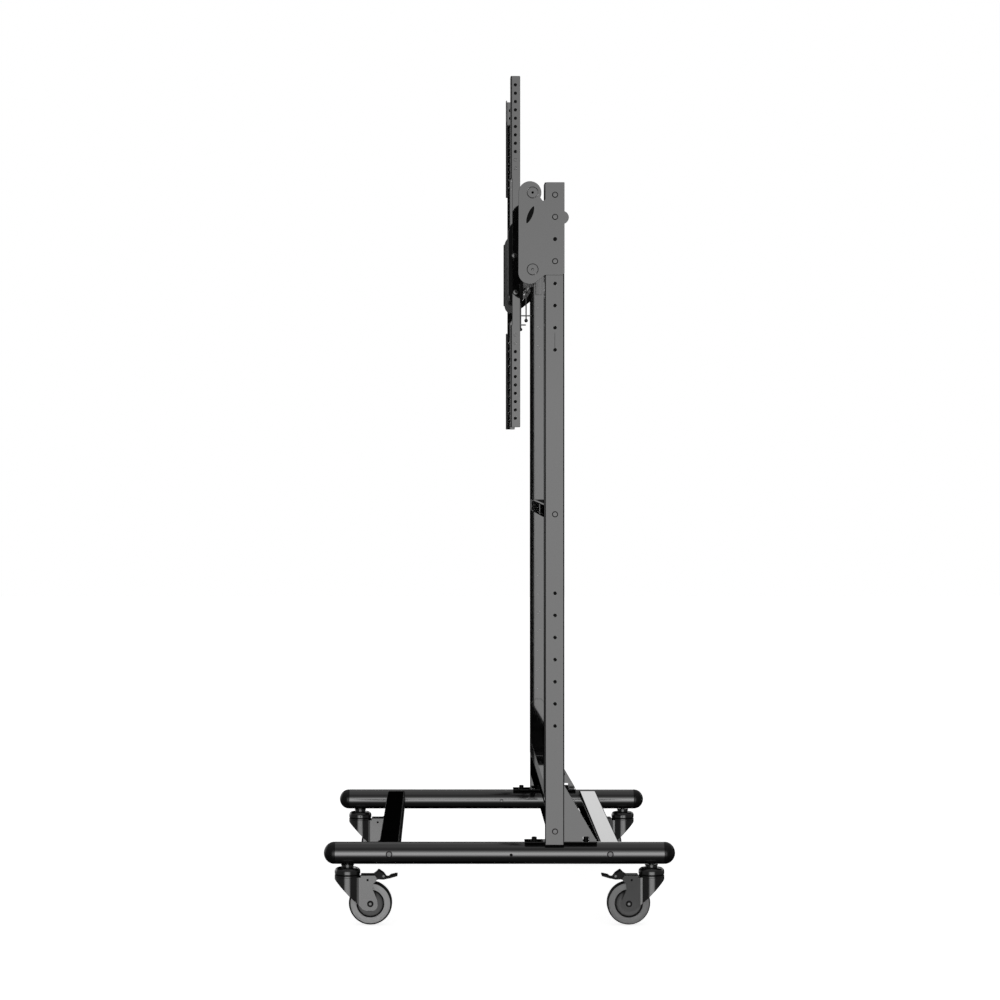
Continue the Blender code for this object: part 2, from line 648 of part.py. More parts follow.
def mid_brace():
    """A channel at mid height, open to the front, with an end tab against each column web."""
    low, high = MID_BRACE_Z
    end = COLUMN_OUT - COLUMN_T - SEAT
    front = COLUMN_FRONT + COLUMN_T + SEAT
    rear = COLUMN_REAR - COLUMN_T - SEAT - 4
    t = MID_BRACE_T
    brace = box("mid_brace", (-end, front, low), (end, rear, high), material=BLACK_STEEL)
    clear = end - t
    back = front + MID_BRACE_DEPTH
    combine(brace, box("cut_mid_back", (-clear, back, low - 5), (clear, rear + 5, high + 5)))
    combine(brace, box("cut_mid_core", (-clear, front - 5, low + t), (clear, back - t, high - t)))
    holes = [(COLUMN_HOLE_Y, MID_BOLT_Z, HOLE_D / 2)]
    combine(brace, drill("cut_mid_bolt", holes, "X", -end - 5, end + 5))


# Mount side plates
def side_plate(side, place):
    """The plate that carries the rods, bolted to the outer face of a column."""
    uy, uz = UPPER_LOBE
    ly, lz = LOWER_LOBE
    rear = COLUMN_REAR
    low = SIDE_PLATE_BOTTOM
    notch = COLUMN_FRONT - 3.5
    dip = COLUMN_TOP - NOTCH_DEPTH
    left = uy - LOBE_R
    ear_dy = rear - EAR[0]
    ear_dz = math.sqrt(EAR_R**2 - ear_dy**2)
    ear_angle = math.degrees(math.asin(ear_dz / EAR_R))
    low_left = ly - LOBE_R
    outline = (
        [(COLUMN_FRONT + 1, COLUMN_TOP - 4), (COLUMN_FRONT + 5, COLUMN_TOP), (rear, COLUMN_TOP), (rear, EAR[1] + ear_dz)]
        + arc(EAR, EAR_R, ear_angle, -ear_angle, 8)[1:-1]
        + [(rear, EAR[1] - ear_dz), (rear, low + 4), (rear - 4, low), (COLUMN_FRONT + 0.7, low)]
        + arc((ly, lz), LOBE_R, -50, -180, 10)
        + ([(left, uz)] if left < low_left else [])
        + arc((uy, uz), LOBE_R, 180, -25, 14)
        + [(notch - 3.3, dip + 2.7), (notch, dip), (notch + 3, dip + 1.7), (COLUMN_FRONT + 1, dip + 4.7)]
    )
    plate = prism("mount_side_plate_" + side, outline, "X", PLATE_IN, PLATE_OUT, place, BLACK_STEEL)
    bolts = [(COLUMN_HOLE_Y, TOP_HOLE_Z - HOLE_PITCH * k, HOLE_D / 2) for k in (0, 1, 2, 3)]
    combine(plate, drill("cut_plate_bolts_" + side, bolts, "X", PLATE_IN - 5, PLATE_OUT + 5, place))
    rods = [(*UPPER_ROD, ROD_R + BORE_FIT), (*LOWER_ROD, ROD_R + BORE_FIT)]
    combine(plate, drill("cut_plate_rods_" + side, rods, "X", PLATE_IN - 5, PLATE_OUT + 5, place, ROD_FACETS))
    ends = [Vector((COLUMN_FRONT + y, COLUMN_TOP - z)) for y, z in zip(SLIT_SPAN, SLIT_DROP)]
    middle = (ends[0] + ends[1]) / 2
    along = ends[0] - middle
    across = Vector((-along.y, along.x)).normalized() * SLIT_HALF_W
    lens = []
    for k in range(12):
        angle = math.radians(30 * k)
        point = middle + along * math.cos(angle) + across * math.sin(angle) * abs(math.sin(angle)) ** 0.5
        lens.append((point.x, point.y))
    combine(plate, prism("cut_plate_lens_" + side, lens, "X", PLATE_IN - 5, PLATE_OUT + 5, place))


def mount_bolts(side, place):
    """Three domed bolts screwed into one clamping bar inside the column."""
    out = COLUMN_OUT - COLUMN_T - SEAT
    heights = [TOP_HOLE_Z - HOLE_PITCH * k for k in MOUNT_BOLT_STEPS]
    low, high = heights[-1] - CLAMP_MARGIN, heights[0] + CLAMP_MARGIN
    bar = box("mount_bolts_" + side, (out - 6, COLUMN_HOLE_Y - 9, low), (out, COLUMN_HOLE_Y + 9, high), place, DARK_STEEL)
    bm = bmesh.new()
    for z in heights:
        seat = PLATE_OUT + SEAT
        profile = bolt_profile(seat, seat - out + 3, BOLT_D / 2 - 0.1, DOME_D / 2, DOME_H)
        add_turned(bm, profile, "X", (COLUMN_HOLE_Y, z), BOLT_FACETS)
    combine(bar, hide(finish(bm, "add_mount_bolts_" + side, place, None, True)), "UNION")


def rod(name, centre):
    """A crosswise tube with thick ends, each centre-drilled."""
    end = PLATE_OUT + 1.2
    core = ROD_R - ROD_WALL
    profile = [
        (2.3, -end),
        (ROD_R - 1, -end),
        (ROD_R, -end + 1),
        (ROD_R, end - 1),
        (ROD_R - 1, end),
        (2.3, end),
        (2.3, end - 6),
        (core, end - 6),
        (core, -end + 6),
        (2.3, -end + 6),
    ]
    turned(name, profile, "X", centre, ROD_FACETS, IDENTITY, BLACK_STEEL)


# Screen rails
def rail(side, place):
    """An angle rail that takes one side of the screen, open in its middle for the tilting head."""
    x, t = RAIL_X, RAIL_T
    web = [(x - t, RAIL_FRONT), (x, RAIL_FRONT), (x, RAIL_BACK), (x - t, RAIL_BACK)]
    flange_in = x - RAIL_FLANGE
    outline = [(flange_in, RAIL_FRONT), web[1], web[2], web[3], (x - t, RAIL_FRONT + t), (flange_in, RAIL_FRONT + t)]
    body = prism("screen_rail_" + side, outline, "Z", RAIL_BOTTOM, RAIL_TOP, place, BLACK_STEEL)
    low, high = RAIL_WINDOW
    window = (flange_in - 5, RAIL_FRONT - 5, low), (x + 5, RAIL_FRONT + RAIL_SETBACK, high)
    combine(body, box("cut_window_" + side, *window, place))
    middle_y = (RAIL_FRONT + RAIL_BACK) / 2
    count = int(RAIL_LENGTH / 2 / RAIL_HOLE_PITCH)
    heights = [RAIL_CENTRE_Z + RAIL_HOLE_PITCH * k for k in range(-count + 1, count)]
    heights = [z for z in heights if not low - RAIL_HOLE_MARGIN < z < high + RAIL_HOLE_MARGIN]
    holes = [(middle_y, z, RAIL_HOLE_D / 2) for z in heights]
    holes.append((TILT_PIVOT[0], TILT_PIVOT[1], BOLT_D / 2 + BORE_FIT))
    combine(body, drill("cut_rail_" + side, holes, "X", x - 10, x + 5, place, 8))
    width = BOLT_D + 4 * BORE_FIT
    tilt = math.radians(TILT_MAX)
    end_y = TILT_PIVOT[0] - TILT_LOCK_SHIFT * math.cos(tilt) + TILT_LOCK_ABOVE * math.sin(tilt)
    end_z = TILT_PIVOT[1] + TILT_LOCK_SHIFT * math.sin(tilt) + TILT_LOCK_ABOVE * math.cos(tilt)
    groove = arc(TILT_LOCK, width / 2, 90, 270, 6) + arc((end_y, end_z), width / 2, -90, 90, 6)
    combine(body, prism("cut_groove_" + side, groove, "X", x - 10, x + 5, place))
    bm = bmesh.new()
    centre_x = flange_in + RAIL_FLANGE / 2 - SCREEN_SLOT_SHIFT
    heights = [RAIL_TOP - inset for inset in SCREEN_SLOT_INSETS]
    heights += [RAIL_BOTTOM + inset for inset in SCREEN_SLOT_INSETS]
    for z in heights:
        points = slot((centre_x, z), SCREEN_SLOT_L, SCREEN_SLOT_W)
        front = [bm.verts.new((a, RAIL_FRONT - 5, b)) for a, b in points]
        back = [bm.verts.new((a, RAIL_FRONT + t + 3, b)) for a, b in points]
        bm.faces.new(front)
        bm.faces.new(back[::-1])
        for i in range(len(points)):
            j = (i + 1) % len(points)
            bm.faces.new((front[j], front[i], back[i], back[j]))
    combine(body, hide(finish(bm, "cut_slots_" + side, place, None, False)))


def head(side, place):
    """The folded head that hooks over the upper rod, rests on the lower rod and carries the rail."""
    low, high = HEAD_Z
    corner = HEAD_CORNER
    uy, uz = UPPER_ROD
    gap = ROD_R + SLIDE_FIT
    back = LOWER_ROD[0] - gap
    outline = (
        arc((HEAD_FRONT + corner, low + corner), corner, 270, 180, 4)
        + arc((HEAD_FRONT + corner, high - corner), corner, 180, 90, 4)
        + [(uy - HOOK_R, high + 8)]
        + arc((uy, uz), HOOK_R, 180, 0, 10)
        + [(uy + HOOK_R, uz - 9), (uy + gap, uz - 9)]
        + arc((uy, uz), gap, 0, 180, 10)
        + [(uy - gap, uz - 20), (back, uz - 30), (back, low + 10), (back - 6, low)]
    )
    body = prism("tilt_head_" + side, outline, "X", HEAD_IN, HEAD_OUT, place, BLACK_STEEL)
    inner = (HEAD_IN + HEAD_T, HEAD_FRONT + HEAD_T, low - 5), (HEAD_OUT - HEAD_T, uy + HOOK_R + 5, uz + HOOK_R + 5)
    combine(body, box("cut_head_" + side, *inner, place))
    caps = (HEAD_IN + HEAD_T, HEAD_FRONT - 5, high - corner), (HEAD_OUT - HEAD_T, HEAD_FRONT + corner, high + 5)
    combine(body, box("cut_head_top_" + side, *caps, place))
    base = (HEAD_IN + HEAD_T, HEAD_FRONT - 5, low - 5), (HEAD_OUT - HEAD_T, HEAD_FRONT + corner, low + corner)
    combine(body, box("cut_head_low_" + side, *base, place))
    r = BOLT_D / 2 + BORE_FIT
    holes = [(*TILT_PIVOT, r), (*TILT_LOCK, r), (*LATCH_PIVOT, LATCH_PIN_R + BORE_FIT)]
    combine(body, drill("cut_head_bolts_" + side, holes, "X", HEAD_IN - 5, HEAD_OUT + 5, place))


def tilt_bolt(name, centre, place):
    """A domed bolt through the rail and both cheeks of the head, with a nut at the inner side."""
    seat = RAIL_X + SEAT
    profile = bolt_profile(seat, seat - HEAD_IN + SEAT, BOLT_D / 2, DOME_D / 2, DOME_H, NUT_R, NUT_H)
    turned(name, profile, "X", centre, BOLT_FACETS, place, DARK_STEEL)


def latch(side, place):
    """The safety hook under the lower rod, with its pull rod, grip and pivot pin."""
    py, pz = LATCH_PIVOT
    ly, lz = LOWER_ROD
    gap = ROD_R + 1.0
    middle = (HEAD_IN + HEAD_OUT) / 2
    outline = (
        arc((py, pz), 6.5, 100, 250, 6)
        + [(ly - 4, lz - gap - 9), (ly + 10, lz - gap - 8), (ly + gap + 6, lz - 6), (ly + gap + 6, lz + 3)]
        + [(ly + gap + 1, lz + 1)]
        + arc((ly, lz), gap, -15, -125, 7)
        + [(py + 6, pz + 1)]
    )
    low, high = middle - LATCH_T / 2, middle + LATCH_T / 2
    body = prism("safety_latch_" + side, outline, "X", low, high, place, DARK_STEEL)
    pin_low, pin_high = HEAD_IN + 0.4, HEAD_OUT - 0.4
    pin = [(0, pin_low), (LATCH_PIN_R, pin_low), (LATCH_PIN_R, pin_high), (0, pin_high)]
    combine(body, hide(turned("add_latch_pin_" + side, pin, "X", LATCH_PIVOT, BOLT_FACETS, place)), "UNION")
    end = lz - PULL_LENGTH
    ball = [(PULL_BALL_R * math.cos(a), end + PULL_BALL_R * (1 + math.sin(a))) for a in (1.1, 0.55, 0, -0.55, -1.1)]
    pull = [(0, lz - gap - 4), (PULL_R, lz - gap - 4), (PULL_R, ball[0][1] + 0.5)] + ball + [(0, end)]
    combine(body, hide(turned("add_latch_pull_" + side, pull, "Z", (middle, ly - 5.5), HOLE_FACETS, place)), "UNION")
    grip_low = end + GRIP_RISE
    grip = (middle - PULL_R, ly - 17, grip_low), (middle + PULL_R, ly + 8, grip_low + GRIP_T)
    combine(body, box("add_latch_grip_" + side, *grip, place), "UNION")


# Assembly
SIDES = (("right", IDENTITY), ("left", MIRROR_X))

for side_name, side_place in SIDES:
    base_tube(side_name, side_place)
    tube_cap("tube_cap_front_" + side_name, -1, side_place)
    tube_cap("tube_cap_rear_" + side_name, 1, side_place)
    column(side_name, side_place)
    foot(side_name, side_place)
    foot_bolt("foot_bolt_front_" + side_name, FOOT_BOLT_Y[0], side_place)
    foot_bolt("foot_bolt_rear_" + side_name, FOOT_BOLT_Y[1], side_place)
    joint_bolt("column_bolt_" + side_name, FOOT_JOINT_Z, GUSSET_IN - SEAT - BRACE_T, side_place)
    joint_bolt("brace_bolt_" + side_name, MID_BOLT_Z, COLUMN_OUT - COLUMN_T - SEAT - MID_BRACE_T, side_place)
    side_plate(side_name, side_place)
    mount_bolts(side_name, side_place)
    rail(side_name, side_place)
    head(side_name, side_place)
    tilt_bolt("tilt_pivot_bolt_" + side_name, TILT_PIVOT, side_place)
    tilt_bolt("tilt_lock_bolt_" + side_name, TILT_LOCK, side_place)
    latch(side_name, side_place)

crossbar("front", -CROSSBAR_Y)
crossbar("rear", CROSSBAR_Y)
tie_rod("front", -CROSSBAR_Y)
tie_rod("rear", CROSSBAR_Y)
caster("front_right", HALF_TRACK, -CASTER_Y, 0.0)
caster("rear_right", HALF_TRACK, CASTER_Y, math.pi)
caster("front_left", -HALF_TRACK, -CASTER_Y, 0.0)
caster("rear_left", -HALF_TRACK, CASTER_Y, math.pi)
lower_brace()
mid_brace()
rod("upper_rod", UPPER_ROD)
rod("lower_rod", LOWER_ROD)
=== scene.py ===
"""Looks of a rolling television cart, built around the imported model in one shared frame.

Every piece is made in millimetres and scaled to metres when its mesh is finished. The right half, +X, is modelled, and
the left half mirrors it. The screen side faces -Y and the floor is z = 0.
"""

from __future__ import annotations

import logging
import math
from collections.abc import Sequence
from dataclasses import dataclass
from enum import Enum

import bmesh
import bpy
from mathutils import Matrix, Vector


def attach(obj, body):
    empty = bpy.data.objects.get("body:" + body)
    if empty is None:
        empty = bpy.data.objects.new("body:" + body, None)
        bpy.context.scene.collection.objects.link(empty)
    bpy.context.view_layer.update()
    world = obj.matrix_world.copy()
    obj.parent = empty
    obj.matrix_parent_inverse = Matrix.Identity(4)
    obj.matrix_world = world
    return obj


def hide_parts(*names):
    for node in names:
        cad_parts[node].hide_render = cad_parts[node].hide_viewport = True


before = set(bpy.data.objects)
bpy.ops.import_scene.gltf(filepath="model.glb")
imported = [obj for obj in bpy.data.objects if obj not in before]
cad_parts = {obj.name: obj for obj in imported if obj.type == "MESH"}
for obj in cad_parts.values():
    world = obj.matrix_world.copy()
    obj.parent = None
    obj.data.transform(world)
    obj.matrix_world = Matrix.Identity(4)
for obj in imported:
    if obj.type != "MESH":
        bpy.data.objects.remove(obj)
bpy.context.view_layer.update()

LOG = logging.getLogger("cart")
MM = 0.001
SHARP_ANGLE = math.radians(32)
FLAT_ANGLE = 0.001
SAME_DIGITS = 4
FAR = 1e4
ANY = (-FAR, FAR)
VECTOR = "NodeSocketVector"
COLOUR_STOPS = (0.35, 0.65)
SHEEN_STOPS = (0.3, 0.7)
# The head of a carriage bolt, as shares of its radius and of its height
DOME = ((0, 1.0), (0.64, 0.99), (0.76, 0.94), (0.86, 0.82), (0.93, 0.62), (0.98, 0.36), (1.0, 0.14), (1.0, 0.0))
# Limits of the studio's dark patches that every direction is past, or that none reaches
BELOW = (-1.2, -1.1)
BEYOND = (1.1, 1.2)

Point = tuple[float, float]
Loop = list[Point]


class Axis(Enum):
    """The direction that a section is drawn out along."""

    X = "X"
    Y = "Y"
    Z = "Z"

    def point(self, a: float, b: float, along: float) -> Vector:
        """A point in space from its two section coordinates and its place along the axis.

        Args:
            a: the first section coordinate.
            b: the second one.
            along: the place along the axis.

        Returns:
            The point.
        """
        if self is Axis.X:
            return Vector((along, a, b))
        if self is Axis.Y:
            return Vector((a, along, b))
        return Vector((a, b, along))


class Side(Enum):
    """One half of the cart."""

    RIGHT = 1
    LEFT = -1

    @property
    def word(self) -> str:
        """The half's name, as it stands in the names of its nodes."""
        return self.name.lower()

    @property
    def matrix(self) -> Matrix:
        """The matrix that takes the modelled right half to this half."""
        return Matrix.Diagonal((self.value, 1, 1, 1))


class End(Enum):
    """The screen end or the back end of the base."""

    FRONT = -1
    REAR = 1

    @property
    def word(self) -> str:
        """The end's name, as it stands in the names of its nodes."""
        return self.name.lower()


class Slot(Enum):
    """The names of the material slots."""

    ENAMEL = "black_enamel"
    OXIDE = "blackened_steel"
    PLASTIC = "black_plastic"
    TYRE = "grey_tyre"


# Node graphs of the finishes


@dataclass
class Graph:
    """A small helper that adds and links nodes in one tree.

    Args:
        tree: the node tree that the nodes go into.
    """

    tree: bpy.types.NodeTree

    def add(self, kind: str, **inputs: object) -> bpy.types.Node:
        """Adds a node.

        Args:
            kind: the node's Blender type.
            inputs: values or sockets by input name, with spaces written as underscores.

        Returns:
            The new node.
        """
        node = self.tree.nodes.new(kind)
        for name, value in inputs.items():
            self.feed(node, name.replace("_", " "), value)
        return node

    def feed(self, node: bpy.types.Node, name: str, value: object) -> None:
        """Sets an input to a value, or links a socket to it.

        Args:
            node: the node that has the input.
            name: the input's name.
            value: a plain value or an output socket.
        """
        socket = node.inputs[name]
        if isinstance(value, bpy.types.NodeSocket):
            self.tree.links.new(value, socket)
        else:
            socket.default_value = value

    def operate(self, kind: str, operation: str, *sources: bpy.types.NodeSocket) -> bpy.types.NodeSocket:
        """Adds a maths node and links its inputs in their order.

        Args:
            kind: the node's Blender type.
            operation: what the node does.
            sources: the outputs that feed it.

        Returns:
            The node's output.
        """
        node = self.tree.nodes.new(kind)
        node.operation = operation
        for place, source in enumerate(sources):
            self.tree.links.new(source, node.inputs[place])
        return node.outputs[0]


@dataclass(frozen=True)
class Finish:
    """A surface finish with fine grain, slow changes of sheen and a little dust or wear.

    Args:
        name: the material's name.
        low: the darker base colour.
        high: the lighter base colour.
        metallic: how metallic the base is.
        roughness: the lowest and the highest roughness.
        coat: the weight of the clear top layer.
        coat_roughness: the roughness of that layer.
        specular: the strength of the base's own gloss.
        grain: grain cells per metre.
        relief: the height of the grain in millimetres.
        patch: slow patches per metre.
    """

    name: str
    low: float
    high: float
    metallic: float = 0.0
    roughness: tuple[float, float] = (0.2, 0.3)
    coat: float = 0.0
    coat_roughness: float = 0.05
    specular: float = 0.5
    grain: float = 900.0
    relief: float = 0.01
    patch: float = 14.0

    def build(self) -> bpy.types.Material:
        """Makes the material.

        Returns:
            The new material.
        """
        material = bpy.data.materials.new(self.name)
        material.use_nodes = True
        graph = Graph(material.node_tree)
        shader = material.node_tree.nodes["Principled BSDF"]
        where = graph.add("ShaderNodeTexCoord").outputs["Object"]
        patches = graph.add("ShaderNodeTexNoise", Vector=where, Scale=self.patch, Detail=4.0, Roughness=0.6)
        fine = graph.add("ShaderNodeTexNoise", Vector=where, Scale=self.grain, Detail=2.0, Roughness=0.5)
        ramp = graph.add("ShaderNodeValToRGB", Fac=patches.outputs["Fac"])
        for k, level in enumerate((self.low, self.high)):
            ramp.color_ramp.elements[k].position = COLOUR_STOPS[k]
            ramp.color_ramp.elements[k].color = (level, level, level, 1)
        graph.feed(shader, "Base Color", ramp.outputs["Color"])
        sheen = graph.add("ShaderNodeMapRange", Value=patches.outputs["Fac"])
        for name, value in zip(("From Min", "From Max", "To Min", "To Max"), SHEEN_STOPS + self.roughness):
            sheen.inputs[name].default_value = value
        graph.feed(shader, "Roughness", sheen.outputs["Result"])
        bump = graph.add("ShaderNodeBump", Strength=1.0, Distance=self.relief * MM, Height=fine.outputs["Fac"])
        graph.feed(shader, "Normal", bump.outputs["Normal"])
        graph.feed(shader, "Coat Normal", bump.outputs["Normal"])
        shader.inputs["Metallic"].default_value = self.metallic
        shader.inputs["Specular IOR Level"].default_value = self.specular
        shader.inputs["Coat Weight"].default_value = self.coat
        shader.inputs["Coat Roughness"].default_value = self.coat_roughness
        return material


class Finishes:
    """All finishes of the cart, built once."""

    def __init__(self) -> None:
        """Builds the materials."""
        self.enamel = Finish(
            "black_enamel_gloss", 0.006, 0.009, 0.0, (0.03, 0.05), 1.0, 0.02, 0.25, 300, 0.0006
        ).build()
        self.tube = Finish("black_tube_enamel", 0.006, 0.009, 0.0, (0.08, 0.12), 1.0, 0.05, 0.8, 300, 0.0008).build()
        self.fork = Finish("black_caster_enamel", 0.008, 0.012, 0.0, (0.16, 0.22), 1.0, 0.1, 0.4, 500, 0.002).build()
        # Satin black put as painted shade on parts of the caster fork cheeks and on the tilt heads' inner cheek faces.
        self.cheek = Finish("black_cheek_painted_shade", 0.008, 0.012, 0.0, (0.3, 0.4), 0.0, 0.2, 0.4, 500, 0.006).build()
        self.bolt = Finish("black_coated_bolt", 0.01, 0.015, 0.0, (0.08, 0.14), 0.8, 0.06, 0.4, 900, 0.001).build()
        self.screw = Finish("black_socket_screw", 0.004, 0.007, 0.0, (0.4, 0.5), 0.0, 0.2, 0.1, 900, 0.004).build()
        # Matt black of the pedal pins, also put as painted shade on hole fills, the slit liner, the cup groove, a
        # crossbar corner and the head cheeks' outer faces.
        self.plastic = Finish("matt_black_and_painted_shade", 0.004, 0.007, 0.0, (0.5, 0.65), 0.0, 0.3, 0.08, 700, 0.02).build()
        self.cap = Finish("black_cap_plastic", 0.006, 0.009, 0.0, (0.2, 0.28), 0.0, 0.2, 0.3, 800, 0.004).build()
        # Dull black of the brake levers, also put on the foot plates' end faces and the middle brace's inner tab faces
        # as painted shade.
        self.lever = Finish("black_lever_and_painted_shade", 0.004, 0.008, 0.0, (0.35, 0.45), 0.0, 0.2, 0.12, 500, 0.02).build()
        # The tyre sides are one grey rubber in two tones: lighter at the front as painted light, darker at the rear as
        # painted shade.
        self.tyre = {
            end: Finish(f"grey_tyre_side_{end.word}", *lit_and_shaded_tones, 0.0, (0.45, 0.6), 0.0, 0.2, 0.4, 500, 0.04).build()
            for end, lit_and_shaded_tones in ((End.FRONT, (0.5, 0.58)), (End.REAR, (0.28, 0.33)))
        }
        self.tread = Finish("dark_tread", 0.012, 0.02, 0.0, (0.55, 0.7), 0.0, 0.2, 0.2, 400, 0.08).build()
        self.hub = Finish("dark_wheel_hub", 0.02, 0.028, 0.0, (0.2, 0.3), 0.1, 0.12, 0.3, 600, 0.02).build()
        self.zinc = Finish("dark_zinc", 0.06, 0.09, 0.6, (0.18, 0.28), 0.0, 0.2, 0.5, 1200, 0.01).build()


# Outlines


def arc(centre: Point, radius: float, start: float, end: float, steps: int) -> Loop:
    """Points along an arc.

    Args:
        centre: the arc's centre.
        radius: its radius.
        start: the first angle in degrees.
        end: the last angle in degrees.
        steps: how many pieces the arc is cut into.

    Returns:
        The points, both ends included.
    """
    angles = [math.radians(start + (end - start) * k / steps) for k in range(steps + 1)]
    return [(centre[0] + radius * math.cos(a), centre[1] + radius * math.sin(a)) for a in angles]


def circle(centre: Point, radius: float, steps: int = 24) -> Loop:
    """A closed round loop."""
    return arc(centre, radius, 0, 360 - 360 / steps, steps - 1)


def slot_loop(centre: Point, length: float, width: float, steps: int = 8) -> Loop:
    """An upright slot with round ends.

    Args:
        centre: the slot's centre.
        length: its length over all.
        width: its width.
        steps: the pieces of each round end.

    Returns:
        The closed loop.
    """
    half = (length - width) / 2
    top = arc((centre[0], centre[1] + half), width / 2, 0, 180, steps)
    return top + arc((centre[0], centre[1] - half), width / 2, 180, 360, steps)


def rounded(corners: Sequence[Sequence[float]], radius: float, steps: int = 4, closed: bool = True) -> Loop:
    """A polygon or an open line with round corners.

    Args:
        corners: points (a, b), or (a, b, r) where a corner has a radius of its own.
        radius: the radius of the other corners.
        steps: the pieces of each round corner.
        closed: False for an open line, whose ends stay as they are.

    Returns:
        The points.
    """
    points: Loop = []
    count = len(corners)
    for i, corner in enumerate(corners):
        here = Vector(corner[:2])
        size = corner[2] if len(corner) > 2 else radius
        if size <= 0 or (not closed and i in (0, count - 1)):
            points.append((here.x, here.y))
            continue
        before = Vector(corners[i - 1][:2]) - here
        after = Vector(corners[(i + 1) % count][:2]) - here
        cut_limit = 0.49 * min(before.length, after.length)
        before.normalize()
        after.normalize()
        half = before.angle(after) / 2
        if half > math.pi / 2 - 0.01:
            points.append((here.x, here.y))
            continue
        cut = min(size / math.tan(half), cut_limit)
        centre = here + (before + after).normalized() * (cut / math.cos(half))
        first = here + before * cut - centre
        last = here + after * cut - centre
        start = math.atan2(first.y, first.x)
        turn = (math.atan2(last.y, last.x) - start + math.pi) % (2 * math.pi) - math.pi
        points += arc((centre.x, centre.y), first.length, math.degrees(start), math.degrees(start + turn), steps)
    return points


def area(loop: Loop) -> float:
    """The signed area of a loop, above 0 where it runs anticlockwise."""
    return sum(a[0] * b[1] - b[0] * a[1] for a, b in zip(loop, loop[1:] + loop[:1])) / 2


def turned_to(loop: Loop, sign: int) -> Loop:
    """The loop, reversed where its area has the other sign."""
    return loop if area(loop) * sign > 0 else loop[::-1]


def inset(loop: Loop, amount: float) -> Loop:
    """The loop moved to its left by an amount, which is into the material.

    Args:
        loop: an anticlockwise outline or a clockwise hole.
        amount: how far each edge moves.

    Returns:
        The moved loop, point for point.
    """
    moved: Loop = []
    for i, here in enumerate(loop):
        first = (Vector(here) - Vector(loop[i - 1])).normalized()
        second = (Vector(loop[(i + 1) % len(loop)]) - Vector(here)).normalized()
        left = Vector((-first.y, first.x))
        mitre = (left + Vector((-second.y, second.x))).normalized()
        reach = amount / max(mitre.dot(left), 0.4)
        moved.append((here[0] + mitre.x * reach, here[1] + mitre.y * reach))
    return moved


class Fold:
    """The line that a folded sheet's middle follows across the sheet."""

    def __init__(self, corners: Sequence[Point], radius: float, steps: int = 4) -> None:
        """Works out the points of the line and their normals.

        Args:
            corners: the corners of the line in the section plane.
            radius: the middle radius of each bend.
            steps: the pieces of each bend.
        """
        self.line: list[tuple[Vector, Vector]] = []
        for i, corner in enumerate(corners):
            here = Vector(corner)
            into = (here - Vector(corners[i - 1])).normalized() if i else None
            out = (Vector(corners[i + 1]) - here).normalized() if i + 1 < len(corners) else None
            if into is None or out is None:
                way = out or into
                self.line.append((here, Vector((-way.y, way.x))))
                continue
            turn = math.atan2(into.x * out.y - into.y * out.x, into.dot(out))
            reach = math.copysign(radius, turn)
            centre = here - into * radius * math.tan(abs(turn) / 2) + Vector((-into.y, into.x)) * reach
            for k in range(steps + 1):
                way = into.copy()
                way.rotate(Matrix.Rotation(turn * k / steps, 2))
                normal = Vector((-way.y, way.x))
                self.line.append((centre - normal * reach, normal))
        self.places = [0.0]
        for (a, _), (b, _) in zip(self.line, self.line[1:]):
            self.places.append(self.places[-1] + (b - a).length)

    def at(self, point: Point) -> float:
        """The place along the line that is nearest to a point of the section plane.

        Args:
            point: a point of the section plane.

        Returns:
            The place, from 0 at the line's start.
        """
        best = (math.inf, 0.0)
        for (a, _), (b, _), start in zip(self.line, self.line[1:], self.places):
            way = b - a
            share = max(0.0, min(1.0, (Vector(point) - a).dot(way) / max(way.length_squared, 1e-12)))
            best = min(best, ((a + way * share - Vector(point)).length, start + way.length * share))
        return best[1]

    def bend(self, place: float, height: float) -> Vector:
        """The section point at a place along the line and a height above it.

        Args:
            place: the place along the line.
            height: the height above the line.

        Returns:
            The section point.
        """
        last = len(self.places) - 2
        i = min(max(sum(p <= place for p in self.places) - 1, 0), last)
        (a, first), (b, second) = self.line[i], self.line[i + 1]
        share = (place - self.places[i]) / (self.places[i + 1] - self.places[i])
        return a.lerp(b, share) + first.lerp(second, min(max(share, 0), 1)).normalized() * height


# Meshes


